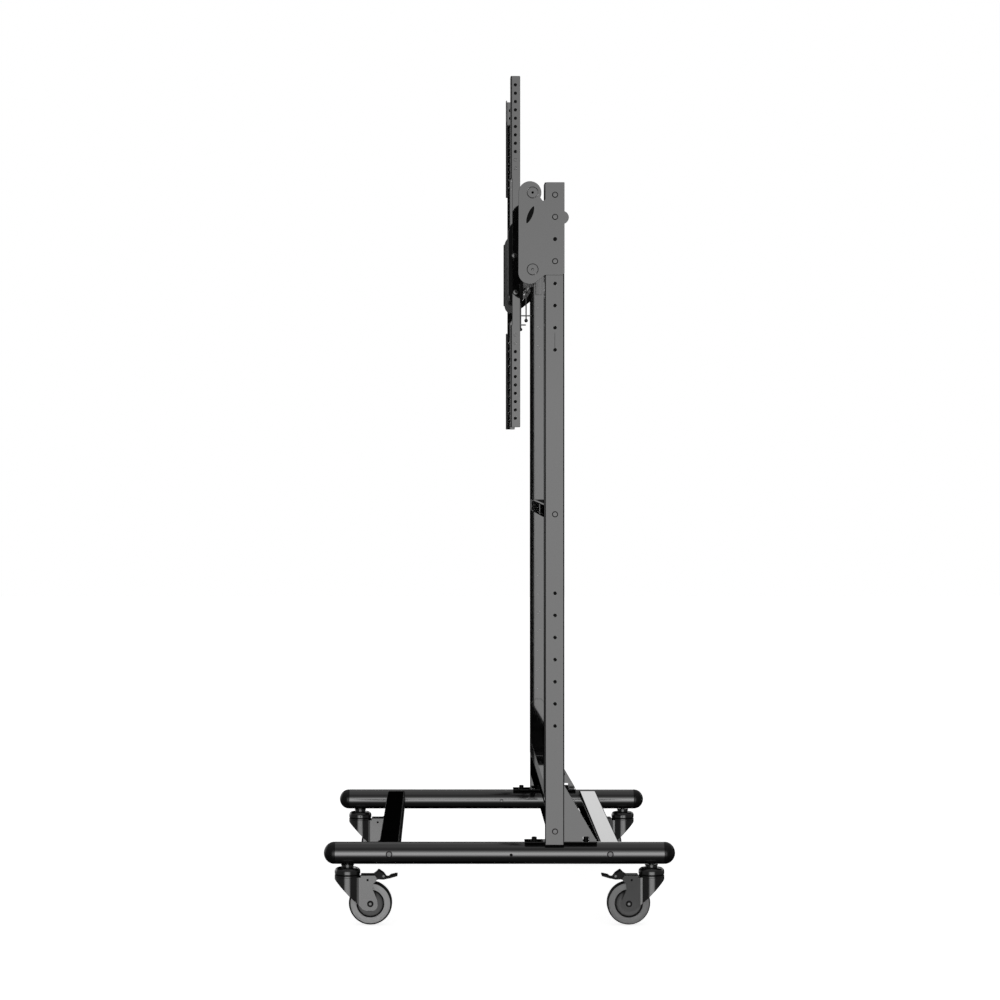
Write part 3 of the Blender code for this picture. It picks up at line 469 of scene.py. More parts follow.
class Piece:
    """One piece of the cart while its mesh is being made, in millimetres."""

    def __init__(self, name: str, *finishes: bpy.types.Material) -> None:
        """Starts an empty mesh.

        Args:
            name: the finished object's name.
            finishes: its materials, in the order of the face numbers.
        """
        self.name = name
        self.finishes = finishes
        self.bm = bmesh.new()
        self.sheet = False

    def turn(
        self,
        profile: Sequence[Sequence[float]],
        axis: Axis,
        centre: Point = (0, 0),
        steps: int = 48,
        number: int = 0,
    ) -> Piece:
        """Adds a turned body.

        Args:
            profile: points (radius, place along the axis), or (radius, place, number) to set the finish number of
                the band that starts there. A profile that doesn't start on the axis is a ring and closes on itself.
            axis: the axis of turning.
            centre: the two section coordinates of the axis.
            steps: the facets round the body.
            number: the finish number of the other bands.

        Returns:
            The piece.
        """
        rings = []
        for point in profile:
            if point[0] <= 1e-6:
                rings.append([self.bm.verts.new(axis.point(*centre, point[1]))])
                continue
            loop = circle(centre, point[0], steps)
            rings.append([self.bm.verts.new(axis.point(a, b, point[1])) for a, b in loop])
        bands = list(zip(rings, rings[1:], profile))
        if profile[0][0] > 1e-6:
            bands.append((rings[-1], rings[0], profile[-1]))
        for first, second, point in bands:
            for k in range(steps):
                n = (k + 1) % steps
                corners = [first[k % len(first)], first[n % len(first)], second[n % len(second)]]
                corners.append(second[k % len(second)])
                face = self.bm.faces.new(list(dict.fromkeys(corners)))
                face.material_index = int(point[2]) if len(point) > 2 else number
        return self

    def plate(
        self,
        outline: Loop,
        holes: Sequence[Loop],
        axis: Axis,
        low: float,
        high: float,
        edge: float = 0.5,
        number: int = 0,
    ) -> Piece:
        """Adds a flat plate with holes and broken edges.

        Args:
            outline: its outline across the axis.
            holes: the loops of its holes.
            axis: the direction of its thickness.
            low: the lower face's place along the axis.
            high: the upper face's place along the axis.
            edge: the size of the broken edges.
            number: the finish number.

        Returns:
            The piece.
        """
        self.sheet = True
        loops = [turned_to(outline, 1)] + [turned_to(hole, -1) for hole in holes]
        caps = [inset(loop, edge) for loop in loops]
        levels = ((caps, low), (loops, low + edge), (loops, high - edge), (caps, high))
        rings = [[[self.bm.verts.new(axis.point(a, b, at)) for a, b in loop] for loop in level] for level, at in levels]
        for lower, upper in zip(rings, rings[1:]):
            for under, over in zip(lower, upper):
                for k in range(len(under)):
                    n = (k + 1) % len(under)
                    face = self.bm.faces.new((under[k], under[n], over[n], over[k]))
                    face.material_index = number
        for ring in (rings[0], rings[-1]):
            edges = [self.bm.edges.get((loop[k - 1], loop[k])) for loop in ring for k in range(len(loop))]
            made = bmesh.ops.triangle_fill(self.bm, use_beauty=True, use_dissolve=False, edges=edges)
            for face in made["geom"]:
                if isinstance(face, bmesh.types.BMFace):
                    face.material_index = number
        return self

    def folded(
        self,
        fold: Fold,
        outline: Loop,
        holes: Sequence[Loop],
        axis: Axis,
        thickness: float,
        edge: float = 0.4,
    ) -> Piece:
        """Adds a folded sheet.

        Args:
            fold: the line that the sheet follows in its section.
            outline: the flat sheet's outline, (place along the line, place along the axis).
            holes: the flat sheet's holes.
            axis: the direction of the bends.
            thickness: the sheet's thickness.
            edge: the size of the broken edges.

        Returns:
            The piece.
        """
        kept = set(self.bm.verts)
        self.plate(outline, holes, Axis.Z, -thickness / 2, thickness / 2, edge)
        for place in fold.places[1:-1]:
            fresh = [v for v in self.bm.verts if v not in kept]
            edges = dict.fromkeys(e for v in fresh for e in v.link_edges)
            faces = dict.fromkeys(f for v in fresh for f in v.link_faces)
            bmesh.ops.bisect_plane(
                self.bm, geom=[*fresh, *edges, *faces], dist=1e-5, plane_co=(place, 0, 0), plane_no=(1, 0, 0)
            )
        for vert in self.bm.verts:
            if vert not in kept:
                section = fold.bend(vert.co.x, vert.co.z)
                vert.co = axis.point(section.x, section.y, vert.co.y)
        return self

    def block(self, low: Sequence[float], high: Sequence[float], edge: float = 0.5, number: int = 0) -> Piece:
        """Adds a block with broken edges between two corners."""
        outline = [(low[0], low[1]), (high[0], low[1]), (high[0], high[1]), (low[0], high[1])]
        return self.plate(rounded(outline, edge, 2), [], Axis.Z, low[2], high[2], edge * 0.8, number)

    def prism(self, outline: Loop, axis: Axis, low: float, high: float, number: int = 0) -> Piece:
        """Adds a straight body over an outline, with sharp edges.

        Args:
            outline: its outline across the axis.
            axis: the axis that it is drawn out along.
            low: the first end's place along the axis.
            high: the other end's place.
            number: the finish number.

        Returns:
            The piece.
        """
        self.sheet = True
        rings = [[self.bm.verts.new(axis.point(a, b, at)) for a, b in outline] for at in (low, high)]
        faces = [self.bm.faces.new(rings[0][::-1]), self.bm.faces.new(rings[1])]
        for k in range(len(outline)):
            n = (k + 1) % len(outline)
            faces.append(self.bm.faces.new((rings[0][k], rings[0][n], rings[1][n], rings[1][k])))
        for face in faces:
            face.material_index = number
        return self

    def shank(self, axis: Axis, centre: Point, radius: float, low: float, high: float, number: int = 0) -> Piece:
        """Adds a plain round shank between two places along an axis.

        Args:
            axis: the shank's axis.
            centre: the two section coordinates of the axis.
            radius: its radius.
            low: the first end's place along the axis.
            high: the other end's place.
            number: the finish number.

        Returns:
            The piece.
        """
        edge = min(0.5, radius * 0.2)
        profile = [(0, low), (radius - edge, low), (radius, low + edge), (radius, high - edge), (radius - edge, high)]
        return self.turn([*profile, (0, high)], axis, centre, 28, number)

    def dome(
        self, axis: Axis, centre: Point, seat: float, way: int, radius: float = 6.95, height: float = 3.4
    ) -> Piece:
        """Adds the domed head of a carriage bolt, standing from its seat in one way along the axis.

        Args:
            axis: the bolt's axis.
            centre: the two section coordinates of the axis.
            seat: the place of the seat along the axis.
            way: 1 or -1, the way that the head stands.
            radius: the head's radius.
            height: the head's height.

        Returns:
            The piece.
        """
        profile = [(radius * r, seat + way * height * h) for r, h in DOME]
        return self.turn([*profile, (0, seat)], axis, centre, 40)

    def insert(self, face: float, wall: float, hole: float, open_back: bool) -> Piece:
        """Adds a blind thread insert that fills a hole of a sheet, with a shallow bore in its outer side; its piece's
        dark finish stands in as painted shade of the hole.

        Args:
            face: the place of the sheet's outer face along X.
            wall: the sheet's thickness.
            hole: the hole's radius.
            open_back: whether the inner side has a bore too.

        Returns:
            The piece.
        """
        skin, rim, sunk, depth = hole - 0.1, hole - 0.45, 0.15, 1.0
        back, front = face - wall, face - sunk
        self.turn([(0, face - depth), (rim, face - depth), (rim, front), (skin, front)], Axis.X, (0, 0), 24)
        shape = [(0, back + depth), (rim, back + depth), (rim, back + sunk)] if open_back else [(0, back + 0.1)]
        return self.turn([*shape, (skin, shape[-1][1]), (skin, front)], Axis.X, (0, 0), 24)

    def held(self) -> bpy.types.Object:
        """Moves the mesh to an object, for a modifier to work on.

        Returns:
            The object.
        """
        bmesh.ops.recalc_face_normals(self.bm, faces=self.bm.faces)
        mesh = bpy.data.meshes.new(self.name)
        self.bm.to_mesh(mesh)
        self.bm.free()
        for finish in self.finishes:
            mesh.materials.append(finish)
        holder = bpy.data.objects.new(self.name, mesh)
        bpy.context.scene.collection.objects.link(holder)
        return holder

    def taken(self, holder: bpy.types.Object) -> Piece:
        """Takes the mesh back from an object, with its modifiers applied.

        Args:
            holder: the object, which is used up.

        Returns:
            The piece.
        """
        bpy.context.view_layer.update()
        graph = bpy.context.evaluated_depsgraph_get()
        mesh = bpy.data.meshes.new_from_object(holder.evaluated_get(graph))
        self.bm = bmesh.new()
        self.bm.from_mesh(mesh)
        holder.modifiers.clear()
        bpy.data.objects.remove(holder)
        return self

    def combine(self, other: Piece, operation: str = "DIFFERENCE") -> Piece:
        """Cuts with another piece's mesh, which is used up.

        Args:
            other: the piece that cuts.
            operation: the kind of Boolean.

        Returns:
            The piece.
        """
        holder, tool = self.held(), other.held()
        modifier = holder.modifiers.new("combine", "BOOLEAN")
        modifier.operation = operation
        modifier.solver = "EXACT"
        modifier.object = tool
        self.taken(holder)
        bpy.data.objects.remove(tool)
        return self

    def ordered(self) -> Piece:
        """Puts the vertices and faces in the order of their places, as a Boolean's own order varies between runs.

        Returns:
            The piece.
        """
        for vert in self.bm.verts:
            vert.co = Vector(round(part, SAME_DIGITS) for part in vert.co)
        verts = sorted(self.bm.verts, key=lambda vert: tuple(vert.co))
        ranks = {vert: k for k, vert in enumerate(verts)}
        faces = []
        for face in self.bm.faces:
            ring = [ranks[vert] for vert in face.verts]
            first = ring.index(min(ring))
            faces.append((ring[first:] + ring[:first], face.material_index))
        fresh = bmesh.new()
        made = [fresh.verts.new(vert.co) for vert in verts]
        for ring, number in sorted(faces):
            fresh.faces.new([made[k] for k in ring]).material_index = number
        self.bm.free()
        self.bm = fresh
        return self

    def join(self, other: Piece) -> Piece:
        """Adds another piece's mesh, which is used up.

        Args:
            other: the piece that is added.

        Returns:
            The piece.
        """
        mesh = bpy.data.meshes.new(other.name)
        other.bm.to_mesh(mesh)
        other.bm.free()
        self.bm.from_mesh(mesh)
        self.sheet = self.sheet or other.sheet
        return self

    def mark(self, number: int, x: Point = ANY, y: Point = ANY, z: Point = ANY) -> Piece:
        """Gives another finish to the faces that lie wholly inside the given ranges of X, Y and Z.

        Args:
            number: the finish number.
            x: the lowest and the highest X.
            y: the lowest and the highest Y.
            z: the lowest and the highest Z.

        Returns:
            The piece.
        """
        for face in self.bm.faces:
            if all(low <= value <= high for vert in face.verts for value, (low, high) in zip(vert.co, (x, y, z))):
                face.material_index = number
        return self

    def split(self, place: float) -> Piece:
        """Cuts the faces along a plane across Y, so that the two sides can have their own finish.

        Args:
            place: the plane's place along Y.

        Returns:
            The piece.
        """
        parts = [*self.bm.verts, *self.bm.edges, *self.bm.faces]
        bmesh.ops.bisect_plane(self.bm, geom=parts, dist=1e-5, plane_co=(0, place, 0), plane_no=(0, 1, 0))
        return self

    def corner_normals(self) -> list[Vector]:
        """Finds a normal for each face corner that follows the widest flat area beside it.

        A wide sheet then keeps its own direction up to its bends and broken edges, and mirrors without waves.

        Returns:
            One normal for each corner, in the order of the faces.
        """
        self.bm.faces.index_update()
        weight = [0.0] * len(self.bm.faces)
        for face in self.bm.faces:
            if weight[face.index]:
                continue
            flat, queue = {face: None}, [face]
            while queue:
                for edge in queue.pop().edges:
                    if edge.calc_face_angle(math.pi) < FLAT_ANGLE:
                        fresh = [one for one in edge.link_faces if one not in flat]
                        flat.update(dict.fromkeys(fresh))
                        queue.extend(fresh)
            total = max(sum(one.calc_area() for one in flat) / MM**2, 1e-6)
            for one in flat:
                weight[one.index] = total**2
        normals = []
        for face in self.bm.faces:
            for corner in face.loops:
                fan, queue = {face: None}, [face]
                while queue:
                    current = queue.pop()
                    for edge in corner.vert.link_edges:
                        sides = list(edge.link_faces)
                        if current in sides and edge.calc_face_angle(math.pi) < SHARP_ANGLE:
                            queue.extend(one for one in sides if one not in fan)
                            fan.update(dict.fromkeys(sides))
                normals.append(sum((one.normal * weight[one.index] for one in fan), Vector()).normalized())
        return normals

    def break_edges(self, width: float, angle: float = 34.0) -> Piece:
        """Bevels the edges that turn by more than an angle in degrees.

        Args:
            width: how far the bevel reaches.
            angle: the smallest turn that is bevelled.

        Returns:
            The piece.
        """
        bmesh.ops.remove_doubles(self.bm, verts=self.bm.verts, dist=0.01)
        bmesh.ops.dissolve_limit(
            self.bm, angle_limit=math.radians(0.5), verts=list(self.bm.verts), edges=list(self.bm.edges)
        )
        edges = [e for e in self.bm.edges if e.calc_face_angle(0) > math.radians(angle)]
        bmesh.ops.bevel(self.bm, geom=edges, offset=width, segments=1, affect="EDGES", clamp_overlap=True)
        return self

    def done(self, body: str, nodes: Sequence[str] = (), matrix: Matrix | None = None) -> bpy.types.Object:
        """Finishes the mesh as an object that rides on a body.

        Args:
            body: the body that the piece moves with.
            nodes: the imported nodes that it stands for.
            matrix: where the piece goes, if it was made elsewhere.

        Returns:
            The finished object.
        """
        bmesh.ops.transform(self.bm, matrix=Matrix.Scale(MM, 4) @ (matrix or Matrix.Identity(4)), verts=self.bm.verts)
        bmesh.ops.recalc_face_normals(self.bm, faces=self.bm.faces)
        normals = self.corner_normals() if self.sheet else []
        mesh = bpy.data.meshes.new(self.name)
        self.bm.to_mesh(mesh)
        self.bm.free()
        mesh.polygons.foreach_set("use_smooth", [True] * len(mesh.polygons))
        mesh.set_sharp_from_angle(angle=SHARP_ANGLE)
        if normals:
            mesh.normals_split_custom_set(normals)
        for finish in self.finishes:
            mesh.materials.append(finish)
        obj = bpy.data.objects.new(self.name, mesh)
        bpy.context.scene.collection.objects.link(obj)
        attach(obj, body)
        if nodes:
            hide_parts(*nodes)
        LOG.info("%s rides on %s, %d faces", self.name, body, len(mesh.polygons))
        return obj


# Repeated pieces by geometry nodes


class NodeTree:
    """A geometry node tree with named inputs, used on one mesh at a time and then applied."""

    def __init__(self, name: str, *inputs: tuple[str, str]) -> None:
        """Opens the tree and its sockets.

        Args:
            name: the tree's name.
            inputs: the name and the socket type of each input after the geometry.
        """
        self.tree = bpy.data.node_groups.new(name, "GeometryNodeTree")
        face = self.tree.interface
        face.new_socket("Geometry", in_out="INPUT", socket_type="NodeSocketGeometry")
        self.keys = {}
        for label, kind in (*inputs, ("Finish", "NodeSocketMaterial")):
            self.keys[label] = face.new_socket(label, in_out="INPUT", socket_type=kind).identifier
        face.new_socket("Geometry", in_out="OUTPUT", socket_type="NodeSocketGeometry")
        self.graph = Graph(self.tree)
        self.entry = self.tree.nodes.new("NodeGroupInput").outputs

    def close(self, geometry: bpy.types.NodeSocket) -> None:
        """Ends the tree: the copies are realised and get their finish.

        Args:
            geometry: the output with the copies.
        """
        real = self.graph.add("GeometryNodeRealizeInstances", Geometry=geometry)
        dressed = self.graph.add("GeometryNodeSetMaterial", Geometry=real.outputs["Geometry"])
        self.graph.feed(dressed, "Material", self.entry["Finish"])
        leave = self.tree.nodes.new("NodeGroupOutput")
        self.tree.links.new(dressed.outputs["Geometry"], leave.inputs["Geometry"])

    def row(self) -> bpy.types.Node:
        """Adds a straight row of points and the node that puts copies on them.

        Returns:
            The node of the copies, which still needs what it copies.
        """
        line = self.graph.add("GeometryNodeMeshLine", Count=self.entry["Count"], Start_Location=self.entry["Start"])
        self.graph.feed(line, "Offset", self.entry["Step"])
        return self.graph.add("GeometryNodeInstanceOnPoints", Points=line.outputs["Mesh"])

    def apply(self, piece: Piece, **values: object) -> Piece:
        """Runs the tree on a piece's mesh and keeps the result as a plain mesh.

        Args:
            piece: the piece that is changed.
            values: the inputs by name.

        Returns:
            The piece.
        """
        holder = piece.held()
        modifier = holder.modifiers.new(self.tree.name, "NODES")
        modifier.node_group = self.tree
        for label, value in values.items():
            modifier[self.keys[label]] = value
        modifier[self.keys["Finish"]] = piece.finishes[0]
        return piece.taken(holder)


class RowTree(NodeTree):
    """Repeats a small mesh along a straight row, such as the screws of a foot."""

    def __init__(self) -> None:
        """Builds the tree."""
        super().__init__("row_of_screws", ("Count", "NodeSocketInt"), ("Start", VECTOR), ("Step", VECTOR))
        made = self.row()
        self.graph.feed(made, "Instance", self.entry["Geometry"])
        self.close(made.outputs["Instances"])


class PerforationTree(NodeTree):
    """Punches a straight row of round holes along X through a sheet."""

    def __init__(self) -> None:
        """Builds the tree."""
        super().__init__(
            "row_of_holes",
            ("Count", "NodeSocketInt"),
            ("Start", VECTOR),
            ("Step", VECTOR),
            ("Radius", "NodeSocketFloat"),
            ("Depth", "NodeSocketFloat"),
        )
        punch = self.graph.add("GeometryNodeMeshCylinder", Vertices=28, Radius=self.entry["Radius"])
        self.graph.feed(punch, "Depth", self.entry["Depth"])
        made = self.row()
        self.graph.feed(made, "Instance", punch.outputs["Mesh"])
        self.graph.feed(made, "Rotation", (0.0, math.pi / 2, 0.0))
        real = self.graph.add("GeometryNodeRealizeInstances", Geometry=made.outputs["Instances"])
        cut = self.tree.nodes.new("GeometryNodeMeshBoolean")
        cut.operation = "DIFFERENCE"
        cut.solver = "EXACT"
        self.graph.feed(cut, "Mesh 1", self.entry["Geometry"])
        self.graph.feed(cut, "Mesh 2", real.outputs["Geometry"])
        self.close(cut.outputs["Mesh"])


@dataclass
class Workshop:
    """What the makers of all sub-assemblies share.

    Args:
        finishes: the finishes.
        row: the tree that repeats a piece along a row.
        punch: the tree that punches a row of holes.
    """

    finishes: Finishes
    row: RowTree
    punch: PerforationTree


# The base


@dataclass
class Base:
    """The two round tubes with their caps, the crossbars and the tie rods."""

    shop: Workshop
    half_track: float = 482.6
    tube_r: float = 25.4
    tube_wall: float = 2.5
    tube_z: float = 164.4
    tube_half: float = 379.1
    seam: float = 0.3
    bar: float = 46.0
    bar_wall: float = 2.5
    bar_corner: float = 3.5
    bar_y: float = 254.0
    rod_r: float = 4.0
    head_r: float = 7.6
    plug_y: float = 26.4
    plug_z: float = 163.0
    plug_r: float = 3.6
    rivet_r: float = 4.4
    rivet_h: float = 2.2
    edge: float = 0.4

    def build(self) -> None:
        """Makes all pieces of the base."""
        for side in Side:
            self.tube(side)
            for end in End:
                self.cap(side, end)
        for end in End:
            self.crossbar(end)
            self.tie_rod(end)

    def tube(self, side: Side) -> None:
        """Makes one base tube, with a small plug in its outer side whose dark core is painted shade of a hole.

        Args:
            side: the half of the cart.
        """
        finishes = self.shop.finishes
        piece = Piece(f"round_tube_{side.word}", finishes.tube, finishes.plastic)
        half, r, inner, e = self.tube_half, self.tube_r, self.tube_r - self.tube_wall, self.edge
        profile = [(inner, -half), (r - e, -half), (r, -half + e), (r, half - e), (r - e, half), (inner, half)]
        piece.turn(profile, Axis.Y, (self.half_track, self.tube_z), 72)
        drop = math.sqrt(r**2 - (self.plug_z - self.tube_z) ** 2)
        outer, inward = self.half_track + drop, self.half_track - drop
        place, size, root = (self.plug_y, self.plug_z), self.plug_r, outer - 2
        core = [(0, outer + 0.35), (size - 1, outer + 0.35), (size - 1, root), (0, root)]
        rim = [(size - 1, root), (size - 1, outer + 0.6), (size - e, outer + 0.9), (size, outer + e), (size, root)]
        # The plug's core takes the matt black as painted shade of a hole; its rim keeps the tube's enamel.
        piece.turn(core, Axis.X, place, 24, 1)
        piece.turn(rim, Axis.X, place, 24)
        piece.dome(Axis.X, place, inward, -1, self.rivet_r, self.rivet_h)
        piece.done("frame", [f"base_tube_{side.word}"], side.matrix)

    def cap(self, side: Side, end: End) -> None:
        """Makes the domed plug of one tube end.

        Args:
            side: the half of the cart.
            end: the end of the base.
        """
        piece = Piece(f"domed_cap_{end.word}_{side.word}", self.shop.finishes.cap)
        base, r, e, depth = self.tube_half + self.seam, self.tube_r, self.edge, 16
        inner = r - self.tube_wall - self.seam
        dome = [(x, base + 1 + y * (r - 1) / r) for x, y in arc((0, 0), r, 90, 0, 14)]
        stub = [(r, base + e), (r - e, base), (inner, base), (inner, base - depth + 0.5), (inner - 0.5, base - depth)]
        profile = [(0.0, dome[0][1]), *dome[1:], *stub, (0.0, base - depth)]
        piece.turn([(a, end.value * b) for a, b in profile], Axis.Y, (self.half_track, self.tube_z), 64)
        piece.done("frame", [f"tube_cap_{end.word}_{side.word}"], side.matrix)

    def crossbar(self, end: End) -> None:
        """Makes one square crossbar, with ends that fit round the tubes; on the front one the rear corner is painted
        dark as shade with the matt black.

        Args:
            end: the end of the base.
        """
        piece = Piece(f"square_crossbar_{end.word}", self.shop.finishes.enamel, self.shop.finishes.plastic)
        y, z, half = end.value * self.bar_y, self.tube_z, self.bar / 2
        square = [(y - half, z - half), (y + half, z - half), (y + half, z + half), (y - half, z + half)]
        outer = rounded(square, self.bar_corner, 5)
        dense: Loop = []
        for here, there in zip(outer, outer[1:] + outer[:1]):
            parts = 10 if math.dist(here, there) > 2 * self.bar_corner else 1
            steps = [Vector(here).lerp(Vector(there), k / parts) for k in range(parts)]
            dense += [(point.x, point.y) for point in steps]
        dense = turned_to(dense, 1)
        inner = inset(dense, self.bar_wall)
        rings = []
        for loop, way in ((dense, -1), (dense, 1), (inner, 1), (inner, -1)):
            ring = [Axis.X.point(*point, way * self.cope(point[1])) for point in loop]
            rings.append([piece.bm.verts.new(co) for co in ring])
        for first, second in zip(rings, rings[1:] + rings[:1]):
            for k in range(len(first)):
                n = (k + 1) % len(first)
                piece.bm.faces.new((first[k], first[n], second[n], second[k]))
        # Painted shade: the front bar's rear rounded corner takes the matt black, which keeps it dark.
        if end is End.FRONT:
            piece.mark(1, y=(y + half - self.bar_corner - 0.1, y + half + 0.1), z=(z - half, z + half + 0.1))
        piece.done("frame", [f"crossbar_{end.word}"])

    def cope(self, height: float) -> float:
        """The distance from the middle at which a crossbar ends on the round tubes, at a height."""
        reach = self.tube_r + self.seam
        return self.half_track - math.sqrt(reach**2 - min(abs(height - self.tube_z), reach) ** 2)

    def tie_rod(self, end: End) -> None:
        """Makes the rod through both tubes, with a domed head at each side.

        Args:
            end: the end of the base.
        """
        piece = Piece(f"tie_bolt_{end.word}", self.shop.finishes.bolt)
        centre = (end.value * self.bar_y, self.tube_z)
        seat = self.half_track + self.tube_r + self.seam
        piece.shank(Axis.X, centre, self.rod_r, -seat, seat)
        for way in (-1, 1):
            piece.dome(Axis.X, centre, way * seat, way, self.head_r)
        piece.done("frame", [f"tie_rod_{end.word}"])


# The casters


@dataclass
class Caster:
    """One swivelling caster, drawn on the origin with its wheel trailing towards +Y."""

    shop: Workshop
    side: Side
    end: End
    half_track: float = 482.6
    swivel_y: float = 350.2
    trail: float = 53.0
    wheel_r: float = 50.0
    wheel_w: float = 31.0
    tyre_inner_r: float = 32.0
    hub_r: float = 11.0
    bore_r: float = 4.3
    cup_r: float = 29.7
    cup_low: float = 110.3
    cup_high: float = 131.0
    neck_r: float = 15.0
    neck_high: float = 138.7
    stem_r: float = 5.5
    stem_high: float = 156.5
    groove: float = 1.2
    rivet: tuple[float, float] = (6.0, 10.0)
    rivet_z: tuple[float, float] = (101.0, 104.7)
    fork_top: float = 110.0
    fork_crown: float = 114.6
    cheek_y: float = 26.6
    fork_outer: float = 20.0
    fork_wall: float = 2.5
    pin_y: float = 46.8
    pin_z: float = 104.6
    pin_r: float = 2.4
    pin_bore_r: float = 2.7
    stem_bore_r: float = 6.3
    spring_pin_r: float = 3.2
    pedal_half: float = 14.0
    pedal_reach: float = 68.2
    axle_r: float = 4.0
    axle_head_r: float = 7.4

    @property
    def where(self) -> str:
        """The end of this caster's names."""
        return f"{self.end.word}_{self.side.word}"

    @property
    def matrix(self) -> Matrix:
        """The caster's place on the base."""
        turn = Matrix.Rotation(math.pi if self.end is End.REAR else 0.0, 4, "Z")
        return Matrix.Translation((self.side.value * self.half_track, self.end.value * self.swivel_y, 0)) @ turn

    def build(self) -> None:
        """Makes all pieces of the caster."""
        self.cup()
        self.fork()
        self.wheel()
        self.axle()
        self.pedal()

    def cup(self) -> None:
        """Makes the cup that covers the swivel bearing, with its neck, its stem and a groove whose faces are painted
        dark as shade.
        """
        piece = Piece(f"swivel_cup_{self.where}", self.shop.finishes.fork, self.shop.finishes.plastic)
        r, low, high, rim = self.cup_r, self.cup_low, self.cup_high, self.fork_crown
        floor, (inner, outer), (under, over) = r - self.groove, self.rivet, self.rivet_z
        profile = [
            (0, self.stem_high),
            (self.stem_r - 0.8, self.stem_high),
            (self.stem_r, self.stem_high - 0.8),
            (self.stem_r, self.neck_high),
            (self.neck_r - 0.8, self.neck_high),
            (self.neck_r, self.neck_high - 0.8),
            (self.neck_r, self.neck_high - 2.6),
            (self.neck_r - 1.4, self.neck_high - 3.2),
            (self.neck_r - 1.4, high + 1.6),
            (self.neck_r + 0.6, high + 0.4),
        ]
        profile += arc((r - 8.5, high - 8.5), 8.5, 82, 0, 8)
        profile += [(r, rim + 2.8), (floor, rim + 2.5), (floor, rim - 0.6), (r, rim - 1.0), (r, low + 0.5)]
        profile += [(r - 0.5, low), (inner, low), (inner, over), (outer, over), (outer, under), (0, under)]
        piece.turn(profile, Axis.Z, (0, 0), 64)
        # Painted shade: the groove's faces take the matt black.
        piece.mark(1, z=(rim - 0.7, rim + 2.6))
        piece.done("frame", [f"caster_cup_{self.where}"], self.matrix)

    def fork(self) -> None:
        """Makes the folded fork, with its round front, top plate and two cheeks."""
        finishes = self.shop.finishes
        piece = Piece(f"folded_fork_{self.where}", finishes.fork, finishes.cheek)
        trail, mid, top, crown = self.trail, self.wheel_r, self.fork_top, self.fork_crown
        reach, outer, inner = trail + 18, self.fork_outer, self.fork_outer - self.fork_wall
        rim, over = self.cup_r + 1.5, crown + 5
        piece.prism(self.horseshoe(self.cup_r, outer, reach), Axis.Z, mid - 20, crown)
        hollow = Piece("hollow").prism(self.horseshoe(self.cup_r - 2.5, inner, reach + 20), Axis.Z, 10, top - 5)
        piece.combine(hollow)
        for half, near, far, low in (
            (inner, self.pin_y - 9.8, reach + 20, top - 7),
            (60, -60, rim, top),
            (inner, rim - 1, self.pin_y, top),
        ):
            room = [(-half, near), (half, near), (half, far), (-half, far)]
            piece.combine(Piece("room").prism(room, Axis.Z, low, over))
        corners = [
            (-self.cup_r - 1, crown + 1, 0),
            (trail + 10, crown + 1, 0),
            (trail + 15, top - 1.5, 3),
            (trail + 14, top - 7, 3),
            (trail + 6, top - 15, 4),
            (trail + 5.5, mid + 33, 4),
            (trail + 11, mid + 20, 14),
            (trail + 16, mid + 8, 14),
            (trail + 17, mid - 5, 10),
            (trail + 13, mid - 13.5, 8),
            (trail + 7, mid - 16, 6),
            (trail - 9, mid - 16, 8),
            (trail - 17, mid - 13.5, 8),
            (trail - 26, mid - 4, 8),
            (6, mid + 17, 8),
            (-self.cup_r - 1, top - 4, 0),
        ]
        piece.combine(Piece("profile").prism(rounded(corners, 4, 5), Axis.X, -40, 40), "INTERSECT")
        bores = Piece("bores")
        for r, ends, axis, centre, steps in (
            (self.bore_r, (-40, 40), Axis.X, (trail, mid), 28),
            (self.pin_bore_r, (-40, 40), Axis.X, (self.pin_y, self.pin_z), 20),
            (self.stem_bore_r, (90, 125), Axis.Z, (0, 0), 32),
        ):
            bores.turn([(0, ends[0]), (r, ends[0]), (r, ends[1]), (0, ends[1])], axis, centre, steps)
        piece.combine(bores).break_edges(0.35).split(self.cheek_y).ordered()
        # On the +X cheek a band just in front of the split, and on the -X cheek the face behind it, take the satin
        # finish as painted shade.
        piece.mark(1, x=(outer - 0.6, outer + 0.1), y=(self.cheek_y - 5, self.cheek_y + 0.1))
        piece.mark(1, x=(-outer - 0.1, 0.6 - outer), y=(self.cheek_y - 0.1, FAR))
        piece.done(f"fork_{self.where}", [f"caster_fork_{self.where}"], self.matrix)

    def horseshoe(self, radius: float, half: float, reach: float) -> Loop:
        """The fork seen from above: round at the swivel axis, with two straight cheeks.

        Args:
            radius: the radius round the swivel axis.
            half: half the width between the cheeks' outer faces.
            reach: how far the cheeks reach to the rear.

        Returns:
            The closed loop.
        """
        last = math.degrees(math.asin(half / radius))
        loop = [(half, reach)]
        for k in range(33):
            angle = math.radians(180 - last - (360 - 2 * last) * k / 32)
            loop.append((radius * math.sin(angle), -radius * math.cos(angle)))
        return [*loop, (-half, reach)]

